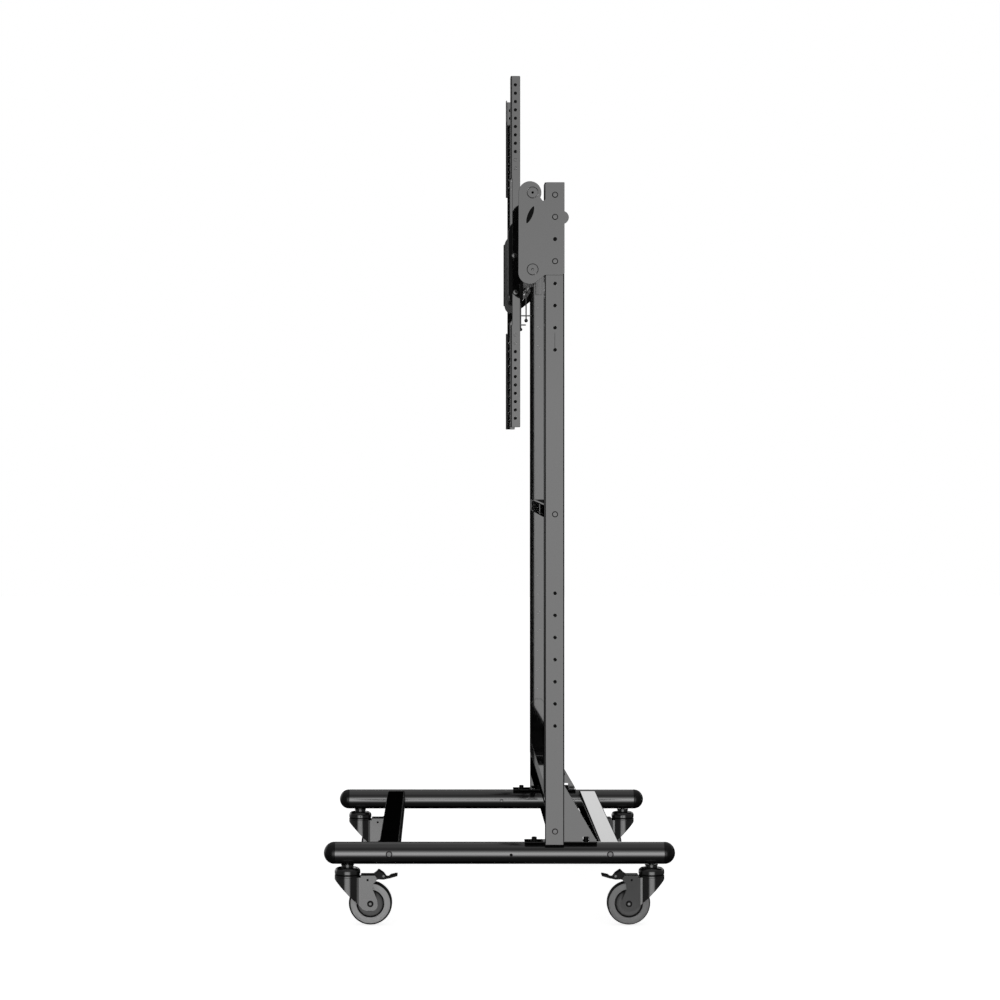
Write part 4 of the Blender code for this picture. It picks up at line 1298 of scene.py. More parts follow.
    def wheel(self) -> None:
        """Makes the wheel, with its hub, grey tyre sides and dark tread."""
        finishes = self.shop.finishes
        # The tyre side's tone follows the end: painted light at the front, painted shade at the rear.
        piece = Piece(f"caster_tyre_{self.where}", finishes.hub, finishes.tyre[self.end], finishes.tread)
        half, inner, r = self.wheel_w / 2, self.tyre_inner_r, self.wheel_r
        side = [
            (self.bore_r, -half, 0),
            (self.hub_r - 0.6, -half, 0),
            (self.hub_r, -half + 0.6, 0),
            (self.hub_r + 1.5, -half + 4.6, 0),
            (self.hub_r + 4, -half + 5.2, 0),
            (inner - 4.4, -half + 5.2, 0),
            (inner - 2.6, -half + 4.6, 0),
            (inner - 1.4, -half + 1.4, 0),
            (inner - 0.9, -half + 0.8, 0),
            (inner, -half + 0.5, 0),
            (inner + 0.5, -half + 1.0, 1),
            (inner + 1.4, -half + 0.7, 1),
            (r - 4.4, -half + 0.9, 1),
            (r - 3.2, -half + 1.6, 2),
            (r - 1.6, -half + 3.4, 2),
            (r - 0.5, -half + 6.5, 2),
            (r - 0.1, -half + 9.5, 2),
        ]
        far = [(a, -b) for a, b, _ in side[::-1]]
        numbers = [2] + [number for _, _, number in side[-2::-1]] + [0]
        piece.turn(side + [(a, b, n) for (a, b), n in zip(far, numbers)], Axis.X, (self.trail, r), 80)
        piece.done(f"wheel_{self.where}", [f"caster_wheel_{self.where}"], self.matrix)

    def axle(self) -> None:
        """Makes the riveted axle, a dark ring round a flat button at each side."""
        piece = Piece(f"riveted_axle_{self.where}", self.shop.finishes.bolt)
        seat, r = self.fork_outer + 0.3, self.axle_head_r
        head = [(0, 2.2), (r * 0.4, 2.2), (r * 0.46, 1.4), (r * 0.55, 1.7), (r * 0.75, 2.9), (r * 0.92, 2.2), (r, 1.0)]
        head += [(r, 0), (self.axle_r, 0)]
        profile = [(a, seat + b) for a, b in head] + [(a, -seat - b) for a, b in head[::-1]]
        piece.turn(profile, Axis.X, (self.trail, self.wheel_r), 40)
        piece.done(f"fork_{self.where}", [f"caster_axle_{self.where}"], self.matrix)

    def pedal(self) -> None:
        """Makes the brake lever: a waisted arm with a raised toe stop, an inclined tip with ribs, and two pins."""
        finishes = self.shop.finishes
        piece = Piece(f"brake_lever_{self.where}", finishes.lever, finishes.plastic, finishes.zinc)
        y, top = self.pin_y, self.fork_top
        gap = self.cup_r + 1.2
        corners = [
            (y - 7.8, top - 7, 1),
            (y + 15, top - 7.5, 2),
            (y + 25, top - 5, 2),
            (y + 37, top - 5.5, 4),
            (y + 45, top - 3.6, 3),
            (y + 51, top - 2.6, 3),
            (y + self.pedal_reach, top + 2.5, 1),
            (y + self.pedal_reach + 1, top + 7.3, 2),
            (y + 53, top + 3.8, 2),
            (y + 48, top - 0.2, 2),
            (y + 43, top, 1.5),
            (y + 37, top + 8.4, 2),
            (y + 33, top + 11, 3),
            (y + 25, top + 16.5, 2.5),
            (y + 19, top + 10, 3),
            (y + 13, top + 5.8, 3),
            (gap, top + 5.8, 1.5),
            (gap, top + 1.2, 1),
            (y - 7.8, top + 1.2, 1),
        ]
        piece.plate(rounded(corners, 2, 4), [], Axis.X, -self.pedal_half, self.pedal_half, 0.8)
        piece.shank(Axis.X, (y, self.pin_z), self.pin_r, -self.fork_outer - 0.5, self.fork_outer + 0.5, 1)
        spring_pin = (y + 36.5, self.pin_z + 8)
        piece.shank(Axis.X, spring_pin, self.spring_pin_r, -self.pedal_half - 0.7, self.pedal_half + 0.7, 2)
        ribs = Piece("grip_ribs", finishes.lever)
        ribs.block((-10, -0.7, -0.3), (10, 0.7, 0.6), 0.3)
        self.shop.row.apply(ribs, Count=3, Start=(0, y + 54.5, top + 4.4), Step=(0.0, 4.2, 1.1))
        piece.join(ribs)
        piece.done(f"brake_{self.where}", [f"caster_brake_{self.where}"], self.matrix)


# The uprights


@dataclass
class Upright:
    """One channel column with its foot, its screws and its bolts."""

    shop: Workshop
    side: Side
    out: float = 508.0
    flange: float = 58.0
    front: float = 103.3
    rear: float = 148.7
    wall: float = 3.0
    bend_r: float = 2.0
    low: float = 186.0
    high: float = 1707.2
    hole_y: float = 127.0
    hole_r: float = 4.2
    top_hole: float = 1678.3
    pitch: float = 50.8
    front_notch: float = 287.0
    rear_notch: float = 324.0
    joint_z: float = 217.0
    brace_z: float = 945.2
    foot_low: float = 190.1
    foot_high: float = 193.1
    foot_front: float = 57.6
    foot_rear: float = 224.5
    foot_half: float = 22.0
    half_track: float = 482.6
    gusset: tuple[float, float] = (500.7, 504.7)
    gusset_top: float = 321.5
    web_top: float = 430.0
    screw_y: tuple[float, float] = (80.0, 199.2)
    screw_r: float = 6.0
    screw_h: float = 8.0
    screw_gap: tuple[float, float] = (191.2, 205.4)
    screw_gap_high: float = 204.6
    screw_bore_r: float = 4.3
    washer: tuple[float, float] = (4.2, 8.2)
    joint_nut: float = 497.1
    brace_nut: float = 502.2
    punch_depth: float = 9.0

    def build(self) -> None:
        """Makes the column, its foot and its fasteners."""
        self.column()
        self.foot()
        self.screws()
        self.bolt("column_bolt", self.joint_z, self.joint_nut)
        self.bolt("brace_bolt", self.brace_z, self.brace_nut)

    def column(self) -> None:
        """Makes the folded channel, with its notched flanges and its two rows of holes."""
        piece = Piece(f"channel_column_{self.side.word}", self.shop.finishes.enamel)
        half, tip = self.wall / 2, self.out - self.flange
        web, near, far = self.out - half, self.front + half, self.rear - half
        fold = Fold([(tip, near), (web, near), (web, far), (tip, far)], self.bend_r, 5)
        ends = fold.at((web - self.bend_r + 0.5, near)), fold.at((web - self.bend_r + 0.5, far))
        last = fold.places[-1]
        corners = [
            (0, self.front_notch, 1.5),
            (ends[0], self.front_notch, 1),
            (ends[0], self.low, 1.5),
            (ends[1], self.low, 1.5),
            (ends[1], self.rear_notch, 1),
            (last, self.rear_notch, 1.5),
            (last, self.high, 1.5),
            (0, self.high, 1.5),
        ]
        piece.folded(fold, rounded(corners, 1.5, 3), [], Axis.Z, self.wall, 0.7)
        size = {"Step": (0.0, 0.0, -self.pitch), "Radius": self.hole_r, "Depth": self.punch_depth}
        lower_row = self.top_hole - 18 * self.pitch
        for count, z in ((8, self.top_hole), (7, lower_row), (1, self.joint_z), (1, self.brace_z)):
            self.shop.punch.apply(piece, Count=count, Start=(web, self.hole_y, z), **size)
        piece.done("frame", [f"column_{self.side.word}"], self.side.matrix)
        self.inserts()

    def inserts(self) -> None:
        """Makes the blind thread inserts of the free holes, painted dark outside as the shade of the holes and flush
        with the web inside.
        """
        finishes = self.shop.finishes
        piece = Piece(f"column_thread_inserts_{self.side.word}", finishes.plastic, finishes.enamel)
        for count, first in ((4, 4), (7, 18)):
            insert = Piece("insert", finishes.plastic).insert(self.out, self.wall, self.hole_r, False)
            start = (0.0, self.hole_y, self.top_hole - first * self.pitch)
            piece.join(self.shop.row.apply(insert, Count=count, Start=start, Step=(0.0, 0.0, -self.pitch)))
        # Their outer faces keep the matt black as painted shade of the holes; their inner faces take the enamel.
        piece.mark(1, x=(0, self.out - self.wall + 0.5))
        piece.done("frame", matrix=self.side.matrix)

    def foot(self) -> None:
        """Makes the foot: a base plate, the upright inside the column with its gusset, and the weld between."""
        finishes = self.shop.finishes
        piece = Piece(f"gusset_foot_{self.side.word}", finishes.enamel, finishes.lever)
        inner, outer = self.gusset
        x0 = self.half_track - self.foot_half
        base = [(x0, self.foot_front), (outer, self.foot_front), (outer, self.foot_rear), (x0, self.foot_rear)]
        bores = [circle((self.half_track, y), self.screw_bore_r, 24) for y in self.screw_y]
        piece.plate(rounded(base, 3, 4), bores, Axis.Z, self.foot_low, self.foot_high, 0.7)
        front, rear = self.front + self.wall + 0.3, self.rear - self.wall - 0.3
        foot, gap = self.foot_high - 0.4, self.screw_gap
        web = [
            (front, foot, 0),
            (gap[0], foot, 0),
            (gap[0], self.screw_gap_high, 1.5),
            (gap[1], self.screw_gap_high, 1.5),
            (gap[1], foot, 0),
            (self.foot_rear - 1, foot, 0),
            (self.foot_rear - 1, self.foot_high + 1.5, 1),
            (self.rear + 0.5, self.gusset_top, 2),
            (rear, self.gusset_top, 0.5),
            (rear, self.web_top - 12, 2),
            (rear - 12, self.web_top, 2),
            (front + 12, self.web_top, 2),
            (front, self.web_top - 12, 2),
        ]
        hole = circle((self.hole_y, self.joint_z), self.hole_r, 28)
        piece.plate(rounded(web, 1, 4), [hole], Axis.X, inner, outer, 0.5)
        top = self.foot_high - 0.2
        bead = [(inner + 0.4, top), (inner + 0.4, top + 3.2), (inner - 1.4, top + 1.9), (inner - 2.6, top)]
        for low, high in ((front + 1, gap[0] - 3), (gap[1] + 3, self.foot_rear - 4)):
            piece.join(Piece("weld").plate(bead, [], Axis.Y, low, high, 0.5))
        # Painted shade: the base plate's end faces take the dull lever finish.
        for edge in (outer - 0.9, outer + 0.1), (x0 - 0.1, x0 + 0.9):
            piece.mark(1, x=edge, z=(0, self.foot_high + 0.1))
        piece.done("frame", [f"column_foot_{self.side.word}"], self.side.matrix)

    def screws(self) -> None:
        """Makes the two socket screws that hold the foot on its tube, each with a washer."""
        piece = Piece(f"foot_screws_{self.side.word}", self.shop.finishes.screw)
        seat, r, h = self.foot_high + 0.3, self.screw_r, self.screw_h
        inner, outer = self.washer
        washer = [(inner, seat - 0.3), (outer, seat - 0.3), (outer, seat + 0.9), (inner, seat + 0.9)]
        socket = [(0, h - 3.4), (2.6, h - 3.4), (2.6, h - 0.4), (3.0, h)]
        head = [(r - 0.9, h), (r, h - 0.9), (r, 1.0), (4.0, 1.0), (4.0, -18), (3.2, -20), (0, -20)]
        piece.turn(washer, Axis.Z, (0, 0), 40)
        piece.turn([(a, seat + b) for a, b in socket + head], Axis.Z, (0, 0), 40)
        gap = self.screw_y[1] - self.screw_y[0]
        start = (self.half_track, self.screw_y[0], 0)
        self.shop.row.apply(piece, Count=2, Start=start, Step=(0.0, gap, 0.0))
        nodes = [f"foot_bolt_{end.word}_{self.side.word}" for end in End]
        piece.done("frame", nodes, self.side.matrix)

    def bolt(self, node: str, z: float, nut: float) -> None:
        """Makes a domed bolt through the column's web, with a nut on the inner side.

        Args:
            node: the bolt's name in the model.
            z: its height.
            nut: the place of the nut's seat along X.
        """
        piece = Piece(f"domed_{node}_{self.side.word}", self.shop.finishes.bolt)
        centre, seat = (self.hole_y, z), self.out + 0.3
        piece.dome(Axis.X, centre, seat, 1)
        piece.shank(Axis.X, centre, 4.0, nut - 8, seat + 0.5)
        piece.plate(circle(centre, 7.2, 6), [], Axis.X, nut - 6.2, nut - 0.3, 0.6)
        piece.done("frame", [f"{node}_{self.side.word}"], self.side.matrix)


@dataclass
class Braces:
    """The two channels that join the columns."""

    shop: Workshop
    lower_low: float = 227.0
    lower_high: float = 278.0
    lower_front: float = 104.3
    lower_back: float = 118.3
    lower_end: float = 500.4
    lower_wall: float = 3.0
    tab_rear: float = 140.0
    tab_front: float = 114.0
    tab_low: float = 204.0
    mid_low: float = 935.0
    mid_high: float = 964.0
    mid_front: float = 106.6
    mid_back: float = 118.6
    mid_end: float = 504.7
    mid_wall: float = 2.5
    mid_rear: float = 141.4
    hole_y: float = 127.0
    hole_r: float = 4.2
    joint_z: float = 217.0
    brace_z: float = 945.2

    def build(self) -> None:
        """Makes both braces."""
        self.lower()
        self.middle()

    def lower(self) -> None:
        """Makes the wide brace near the base, open to the rear, with a tab at each foot."""
        piece = Piece("lower_channel_brace", self.shop.finishes.enamel)
        t, end = self.lower_wall, self.lower_end
        y, low, high = self.lower_front + t / 2, self.lower_low + t / 2, self.lower_high - t / 2
        fold = Fold([(self.lower_back, low), (y, low), (y, high), (self.lower_back, high)], 3.0, 5)
        last = fold.places[-1]
        piece.folded(fold, [(0, -end + t), (last, -end + t), (last, end - t), (0, end - t)], [], Axis.X, t)
        corners = [
            (self.lower_front, self.lower_low, 2),
            (self.lower_front, self.lower_high, 2),
            (self.tab_rear, self.lower_high, 5),
            (self.tab_rear, self.tab_low, 5),
            (self.tab_front, self.tab_low, 5),
            (self.tab_front, self.lower_low, 2),
        ]
        hole = circle((self.hole_y, self.joint_z), self.hole_r, 24)
        for x in (-end, end - t):
            piece.plate(rounded(corners, 3, 4), [hole], Axis.X, x, x + t, 0.5)
        piece.done("frame", ["lower_brace"])

    def middle(self) -> None:
        """Makes the slim brace at mid height, open to the front, with a tab at each column whose inner face is painted
        dark as shade.
        """
        piece = Piece("middle_channel_brace", self.shop.finishes.enamel, self.shop.finishes.lever)
        t, end = self.mid_wall, self.mid_end
        y, low, high = self.mid_back - t / 2, self.mid_low + t / 2, self.mid_high - t / 2
        fold = Fold([(self.mid_front, high), (y, high), (y, low), (self.mid_front, low)], 2.5, 5)
        last = fold.places[-1]
        piece.folded(fold, [(0, -end + t), (last, -end + t), (last, end - t), (0, end - t)], [], Axis.X, t)
        corners = [
            (self.mid_front, self.mid_low),
            (self.mid_rear, self.mid_low),
            (self.mid_rear, self.mid_high),
            (self.mid_front, self.mid_high),
        ]
        hole = circle((self.hole_y, self.brace_z), self.hole_r, 24)
        for x in (-end, end - t):
            piece.plate(rounded(corners, 3, 4), [hole], Axis.X, x, x + t, 0.5)
        # Painted shade: the faces on the tabs' inner side take the dull lever finish.
        for inner in (end - t, t - end):
            piece.mark(1, x=(inner - 0.1, inner + 0.1))
        piece.done("frame", ["mid_brace"])


# The mount


@dataclass
class Mount:
    """The side plates with their bolts, and the two rods across."""

    shop: Workshop
    plate_in: float = 508.3
    plate_t: float = 3.0
    top: float = 1707.2
    low: float = 1494.0
    front: float = 103.3
    rear: float = 148.7
    lobe_r: float = 26.2
    upper_lobe: Point = (69.4, 1683.3)
    lower_lobe: Point = (68.7, 1499.7)
    ear: Point = (143.6, 1626.4)
    ear_r: float = 15.0
    dip: Point = (99.8, 1664.3)
    slit: tuple[Point, Point] = ((77.9, 1651.6), (62.1, 1613.3))
    slit_half: float = 5.2
    rods: tuple[Point, Point] = ((75.5, 1683.5), (75.5, 1507.1))
    rod_r: float = 12.7
    hole_y: float = 127.0
    hole_r: float = 4.2
    top_hole: float = 1678.3
    pitch: float = 50.8

    def build(self) -> None:
        """Makes all pieces of the mount."""
        for side in Side:
            self.side_plate(side)
            self.bolts(side)
        for name, centre in zip(("upper_rod", "lower_rod"), self.rods):
            self.rod(name, centre)

    def side_plate(self, side: Side) -> None:
        """Makes the plate that carries the rods.

        Args:
            side: the half of the cart.
        """
        finishes = self.shop.finishes
        piece = Piece(f"lobed_side_plate_{side.word}", finishes.enamel, finishes.plastic)
        front, rear, top, low = self.front, self.rear, self.top, self.low
        rise = math.sqrt(self.ear_r**2 - (rear - self.ear[0]) ** 2)
        turn = math.degrees(math.asin(rise / self.ear_r))
        upper = [(front + 1, top - 4), (front + 5, top), (rear, top, 1.2), (rear, self.ear[1] + rise + 3)]
        lower = [(rear, self.ear[1] - rise - 3), (rear, low + 4), (rear - 4, low), (front + 0.7, low)]
        dip = self.dip
        outline = (
            rounded(upper, 3, 3, closed=False)
            + arc(self.ear, self.ear_r, turn, -turn, 16)
            + rounded(lower, 3, 3, closed=False)
            + arc(self.lower_lobe, self.lobe_r, -50, -180, 26)
            + arc(self.upper_lobe, self.lobe_r, 180, -25, 40)
            + [(dip[0] - 3.3, dip[1] + 2.7), (dip[0] - 1.2, dip[1] + 0.5), dip, (dip[0] + 3, dip[1] + 1.7)]
            + [(front + 1, dip[1] + 4.7)]
        )
        holes = [circle((self.hole_y, self.top_hole - self.pitch * k), self.hole_r, 28) for k in range(4)]
        holes += [circle(centre, self.rod_r + 0.3, 56) for centre in self.rods]
        holes.append(self.lens())
        piece.plate(outline, holes, Axis.X, self.plate_in, self.plate_in + self.plate_t, 0.5)
        # A dark sheet of the slit's shape, a little larger, lies behind the slit as painted shade seen through it.
        piece.plate(self.lens(1.12, 1.5), [], Axis.X, self.plate_in - 2, self.plate_in - 0.1, 0.2, 1)
        # The free third hole holds a dark disc as painted shade of the hole.
        spare, r = (self.hole_y, self.top_hole - 2 * self.pitch), self.hole_r - 0.2
        under, over = self.plate_in - 1, self.plate_in + 0.5
        piece.turn([(0, under), (r, under), (r, over), (0, over)], Axis.X, spare, 24, 1)
        piece.done("frame", [f"mount_side_plate_{side.word}"], side.matrix)

    def lens(self, longer: float = 1.0, wider: float = 1.0) -> Loop:
        """The slanting slit between the rods, pointed at both ends, or a larger one over it.

        Args:
            longer: how many times the slit's length.
            wider: how many times its width.

        Returns:
            The closed loop.
        """
        ends = [Vector(point) for point in self.slit]
        middle = (ends[0] + ends[1]) / 2
        along = (ends[0] - middle) * longer
        across = Vector((-along.y, along.x)).normalized() * self.slit_half * wider
        loop: Loop = []
        for k in range(36):
            angle = math.radians(10 * k)
            bulge = math.sin(angle) * abs(math.sin(angle)) ** 0.5
            point = middle + along * math.cos(angle) + across * bulge
            loop.append((point.x, point.y))
        return loop

    def bolts(self, side: Side) -> None:
        """Makes the clamping bar inside the column and the three domed bolts that are screwed into it.

        Args:
            side: the half of the cart.
        """
        piece = Piece(f"clamped_mount_bolts_{side.word}", self.shop.finishes.bolt)
        inner = self.plate_in - 3.6
        low, high = self.top_hole - 3 * self.pitch - 14, self.top_hole + 14
        y = self.hole_y
        bar = [(y - 9, low), (y + 9, low), (y + 9, high), (y - 9, high)]
        piece.plate(rounded(bar, 3, 4), [], Axis.X, inner - 6, inner, 0.5)
        for count, first in ((2, 0), (1, 3)):
            bolt = Piece("mount_bolt", self.shop.finishes.bolt)
            seat = self.plate_in + self.plate_t + 0.3
            bolt.dome(Axis.X, (0, 0), seat, 1)
            bolt.shank(Axis.X, (0, 0), 3.9, inner - 3, seat + 0.5)
            start = (0.0, y, self.top_hole - first * self.pitch)
            self.shop.row.apply(bolt, Count=count, Start=start, Step=(0.0, 0.0, -self.pitch))
            piece.join(bolt)
        piece.done("frame", [f"mount_bolts_{side.word}"], side.matrix)

    def rod(self, name: str, centre: Point) -> None:
        """Makes one crosswise tube, with centre-drilled ends.

        Args:
            name: the rod's name in the model.
            centre: the two section coordinates of its axis.
        """
        piece = Piece(f"crosswise_{name}", self.shop.finishes.enamel)
        end, r, core = self.plate_in + self.plate_t + 1.2, self.rod_r, self.rod_r - 2.5
        tip = [(core, end - 6), (2.3, end - 6), (2.3, end - 0.7), (2.9, end), (r - 1.0, end), (r, end - 1.0)]
        piece.turn([(a, b) for a, b in tip] + [(a, -b) for a, b in tip[::-1]], Axis.X, centre, 64)
        piece.done("frame", [name])


# The screen rails


@dataclass
class ScreenSide:
    """One screen rail with its tilting head, its bolts and its safety latch."""

    shop: Workshop
    side: Side
    rail_x: float = 234.2
    rail_t: float = 2.5
    rail_front: float = 32.2
    rail_back: float = 55.3
    rail_low: float = 1148.4
    rail_high: float = 1991.4
    flange: float = 36.0
    bend_r: float = 2.75
    window: tuple[float, float] = (1394.0, 1745.0)
    setback: float = 4.0
    hole_y: float = 43.75
    hole_r: float = 4.0
    hole_pitch: float = 20.0
    centre_z: float = 1569.9
    first_hole: int = 10
    holes: int = 11
    slot_x: float = 214.2
    slot_z: tuple[float, ...] = (1931.4, 1821.4, 1318.4, 1208.4)
    slot_size: Point = (84.0, 8.4)
    pivot: Point = (43.75, 1472.0)
    lock: Point = (40.95, 1560.0)
    tilt_max: float = 5.0
    head_front: float = 26.0
    head_low: float = 1446.0
    head_high: float = 1642.0
    head_corner: float = 20.0
    head_in: float = 201.0
    head_out: float = 231.4
    head_t: float = 3.0
    hook_r: float = 21.5
    upper_rod: Point = (75.5, 1683.5)
    lower_rod: Point = (75.5, 1507.1)
    rod_r: float = 12.7
    slide_fit: float = 0.35
    latch_pivot: Point = (50.0, 1490.0)
    latch_t: float = 4.0
    pull_drop: float = 106.3
    ball_r: float = 4.4

    def build(self) -> None:
        """Makes all pieces of this side of the screen mount."""
        self.rail()
        self.head()
        self.bolt("tilt_pivot_bolt", self.pivot)
        self.bolt("tilt_lock_bolt", self.lock)
        self.latch()

    def rail(self) -> None:
        """Makes the folded rail, with its screw slots, its rows of holes and the groove of the lock bolt."""
        piece = Piece(f"folded_screen_rail_{self.side.word}", self.shop.finishes.enamel)
        half = self.rail_t / 2
        x, y = self.rail_x - half, self.rail_front + half
        fold = Fold([(x, self.rail_back), (x, y), (self.rail_x - self.flange, y)], self.bend_r, 5)
        last = fold.places[-1]
        step = fold.at((x, self.rail_front + self.setback))
        low, high = self.window
        corners = [
            (0, self.rail_low, 2),
            (last, self.rail_low, 2),
            (last, low, 2),
            (step, low, 1),
            (step, high, 1),
            (last, high, 2),
            (last, self.rail_high, 2),
            (0, self.rail_high, 2),
        ]
        shift = self.pivot[0] - self.lock[0], self.lock[1] - self.pivot[1]
        tilt = math.radians(self.tilt_max)
        far = (
            self.pivot[0] - shift[0] * math.cos(tilt) + shift[1] * math.sin(tilt),
            self.pivot[1] + shift[0] * math.sin(tilt) + shift[1] * math.cos(tilt),
        )
        groove = arc(self.lock, 4.6, 90, 270, 12) + arc(far, 4.6, -90, 90, 12)
        cuts = [[(fold.at((x, a)), b) for a, b in groove]]
        place = fold.at((x, self.pivot[0]))
        cuts.append(circle((place, self.pivot[1]), 4.3, 28))
        middle = fold.at((self.slot_x, y))
        cuts += [slot_loop((middle, z), *self.slot_size) for z in self.slot_z]
        piece.folded(fold, rounded(corners, 2, 4), cuts, Axis.Z, self.rail_t, 0.8)
        for way in (-1, 1):
            start = (x, self.hole_y, self.centre_z + way * self.first_hole * self.hole_pitch)
            pitch = (0.0, 0.0, way * self.hole_pitch)
            self.shop.punch.apply(
                piece, Count=self.holes, Start=start, Step=pitch, Radius=self.hole_r, Depth=8.0
            )
        piece.done(f"rail_{self.side.word}", [f"screen_rail_{self.side.word}"], self.side.matrix)
        self.rail_inserts()

    def rail_inserts(self) -> None:
        """Makes the thread inserts of the rail's holes, and the flush plugs of the two nearest the head at each end."""
        finishes = self.shop.finishes
        piece = Piece(f"rail_thread_inserts_{self.side.word}", finishes.plastic, finishes.enamel)
        for way in (-1, 1):
            step = (0.0, 0.0, way * self.hole_pitch)
            # The inserts' matt black is painted shade of the holes.
            insert = Piece("insert", finishes.plastic).insert(self.rail_x, self.rail_t, self.hole_r, True)
            first = self.centre_z + way * (self.first_hole + 2) * self.hole_pitch
            start = (0.0, self.hole_y, first)
            piece.join(self.shop.row.apply(insert, Count=self.holes - 2, Start=start, Step=step))
            face, r = self.rail_x, self.hole_r - 0.15
            shape = [(0, face - 0.15), (r - 0.4, face - 0.15), (r, face - 0.5), (r, face - 3), (0, face - 3)]
            plug = Piece("plug", finishes.enamel).turn(shape, Axis.X, (0, 0), 24)
            start = (0.0, self.hole_y, self.centre_z + way * self.first_hole * self.hole_pitch)
            first_face = len(piece.bm.faces)
            piece.join(self.shop.row.apply(plug, Count=2, Start=start, Step=step))
            piece.bm.faces.ensure_lookup_table()
            for face_of_plug in piece.bm.faces[first_face:]:
                face_of_plug.material_index = 1
        piece.done(f"rail_{self.side.word}", matrix=self.side.matrix)

    def head(self) -> None:
        """Makes the folded head that hooks over the upper rod and rests on the lower rod."""
        finishes = self.shop.finishes
        piece = Piece(f"hooked_tilt_head_{self.side.word}", finishes.enamel, finishes.plastic, finishes.cheek)
        half = self.head_t / 2
        outer, inner, y = self.head_out - half, self.head_in + half, self.head_front + half
        fold = Fold([(outer, 110.0), (outer, y), (inner, y), (inner, 110.0)], 2.5, 5)
        cheek = self.cheek()
        near = [(fold.at((outer, a)), b) for a, b in cheek]
        far = [(fold.at((inner, a)), b) for a, b in cheek[::-1]]
        cuts = []
        for x in (outer, inner):
            for (a, b), r in ((self.pivot, 4.3), (self.lock, 4.3), (self.latch_pivot, 3.3)):
                cuts.append(circle((fold.at((x, a)), b), r, 24))
        piece.folded(fold, near + far, cuts, Axis.Z, self.head_t)
        # The cheeks' outer faces take the matt black and their inner faces the satin black, as painted shade.
        piece.mark(1, x=(self.head_out - 0.6, FAR)).mark(2, x=(0, self.head_in + 0.6))
        piece.done(f"head_{self.side.word}", [f"tilt_head_{self.side.word}"], self.side.matrix)

    def cheek(self) -> Loop:
        """The outline of one cheek of the head, from its front at the top round to its front at the bottom.

        Returns:
            The outline, open at the front.
        """
        front, low, high, corner = self.head_front + 3.0, self.head_low, self.head_high, self.head_corner
        (uy, uz), gap = self.upper_rod, self.rod_r + self.slide_fit
        back, out = self.lower_rod[0] - gap, uy + self.hook_r
        top = arc((front + corner, high - corner), corner, 180, 90, 10)
        hook = [(uy - self.hook_r, high + 8)] + arc((uy, uz), self.hook_r, 180, 0, 28)
        tip = [(out, uz), (out, uz - 9, 3), (uy + gap, uz - 9, 3), (uy + gap, uz)]
        inner = arc((uy, uz), gap, 0, 180, 24)
        rear = [(uy - gap, uz), (uy - gap, uz - 20, 6), (back, uz - 30, 6), (back, low + 10, 4)]
        base = [(back, low + 12), (back, low + 10, 4), (back - 6, low, 4), (back - 12, low)]
        end = arc((front + corner, low + corner), corner, 270, 180, 10)
        tip, rear, base = (rounded(line, 4, 4, closed=False) for line in (tip, rear, base))
        return top + hook[:-1] + tip[:-1] + inner[:-1] + rear[:-1] + base[1:] + end

    def bolt(self, node: str, centre: Point) -> None:
        """Makes a domed bolt through the rail and both cheeks of the head.

        Args:
            node: the bolt's name in the model.
            centre: the two section coordinates of its axis.
        """
        piece = Piece(f"domed_{node}_{self.side.word}", self.shop.finishes.bolt)
        seat, inner = self.rail_x + 0.3, self.head_in - 0.3
        piece.dome(Axis.X, centre, seat, 1)
        piece.shank(Axis.X, centre, 4.0, inner - 7.5, seat + 0.5)
        piece.plate(circle(centre, 7.2, 6), [], Axis.X, inner - 6, inner, 0.6)
        piece.done(f"head_{self.side.word}", [f"{node}_{self.side.word}"], self.side.matrix)

    def latch(self) -> None:
        """Makes the safety hook, with its pivot pin, its pull rod, the ball at its end and the grip."""
        piece = Piece(f"pull_latch_{self.side.word}", self.shop.finishes.zinc)
        (py, pz), (ly, lz), gap = self.latch_pivot, self.lower_rod, self.rod_r + 1.0
        middle = (self.head_in + self.head_out) / 2
        hook = [
            (py - 2, pz - 8),
            (ly - 4, lz - gap - 9, 3),
            (ly + 10, lz - gap - 8, 6),
            (ly + gap + 6, lz - 6, 6),
            (ly + gap + 6, lz + 3, 2),
            (ly + gap + 1, lz + 1),
        ]
        outline = (
            arc((py, pz), 6.5, 100, 250, 14)
            + rounded(hook, 3, 4, closed=False)[1:]
            + arc((ly, lz), gap, -15, -125, 18)
            + [(py + 6, pz + 1)]
        )
        piece.plate(outline, [], Axis.X, middle - self.latch_t / 2, middle + self.latch_t / 2, 0.4)
        piece.shank(Axis.X, (py, pz), 3.0, self.head_in + 0.4, self.head_out - 0.4)
        end, r = lz - self.pull_drop, self.ball_r
        turns = [math.radians(angle) for angle in range(66, -91, -12)]
        ball = [(r * math.cos(a), end + r * (1 + math.sin(a))) for a in turns]
        pull = [(0, lz - gap - 4), (1.6, lz - gap - 4), (1.6, ball[0][1])] + ball[:-1] + [(0, end)]
        piece.turn(pull, Axis.Z, (middle, ly - 5.5), 20)
        grip = [(ly - 17, end + 14.4), (ly + 8, end + 14.4), (ly + 8, end + 17.6), (ly - 17, end + 17.6)]
        piece.plate(rounded(grip, 1.4, 4), [], Axis.X, middle - 1.6, middle + 1.6, 0.5)
        piece.done(f"latch_{self.side.word}", [f"safety_latch_{self.side.word}"], self.side.matrix)


# The studio


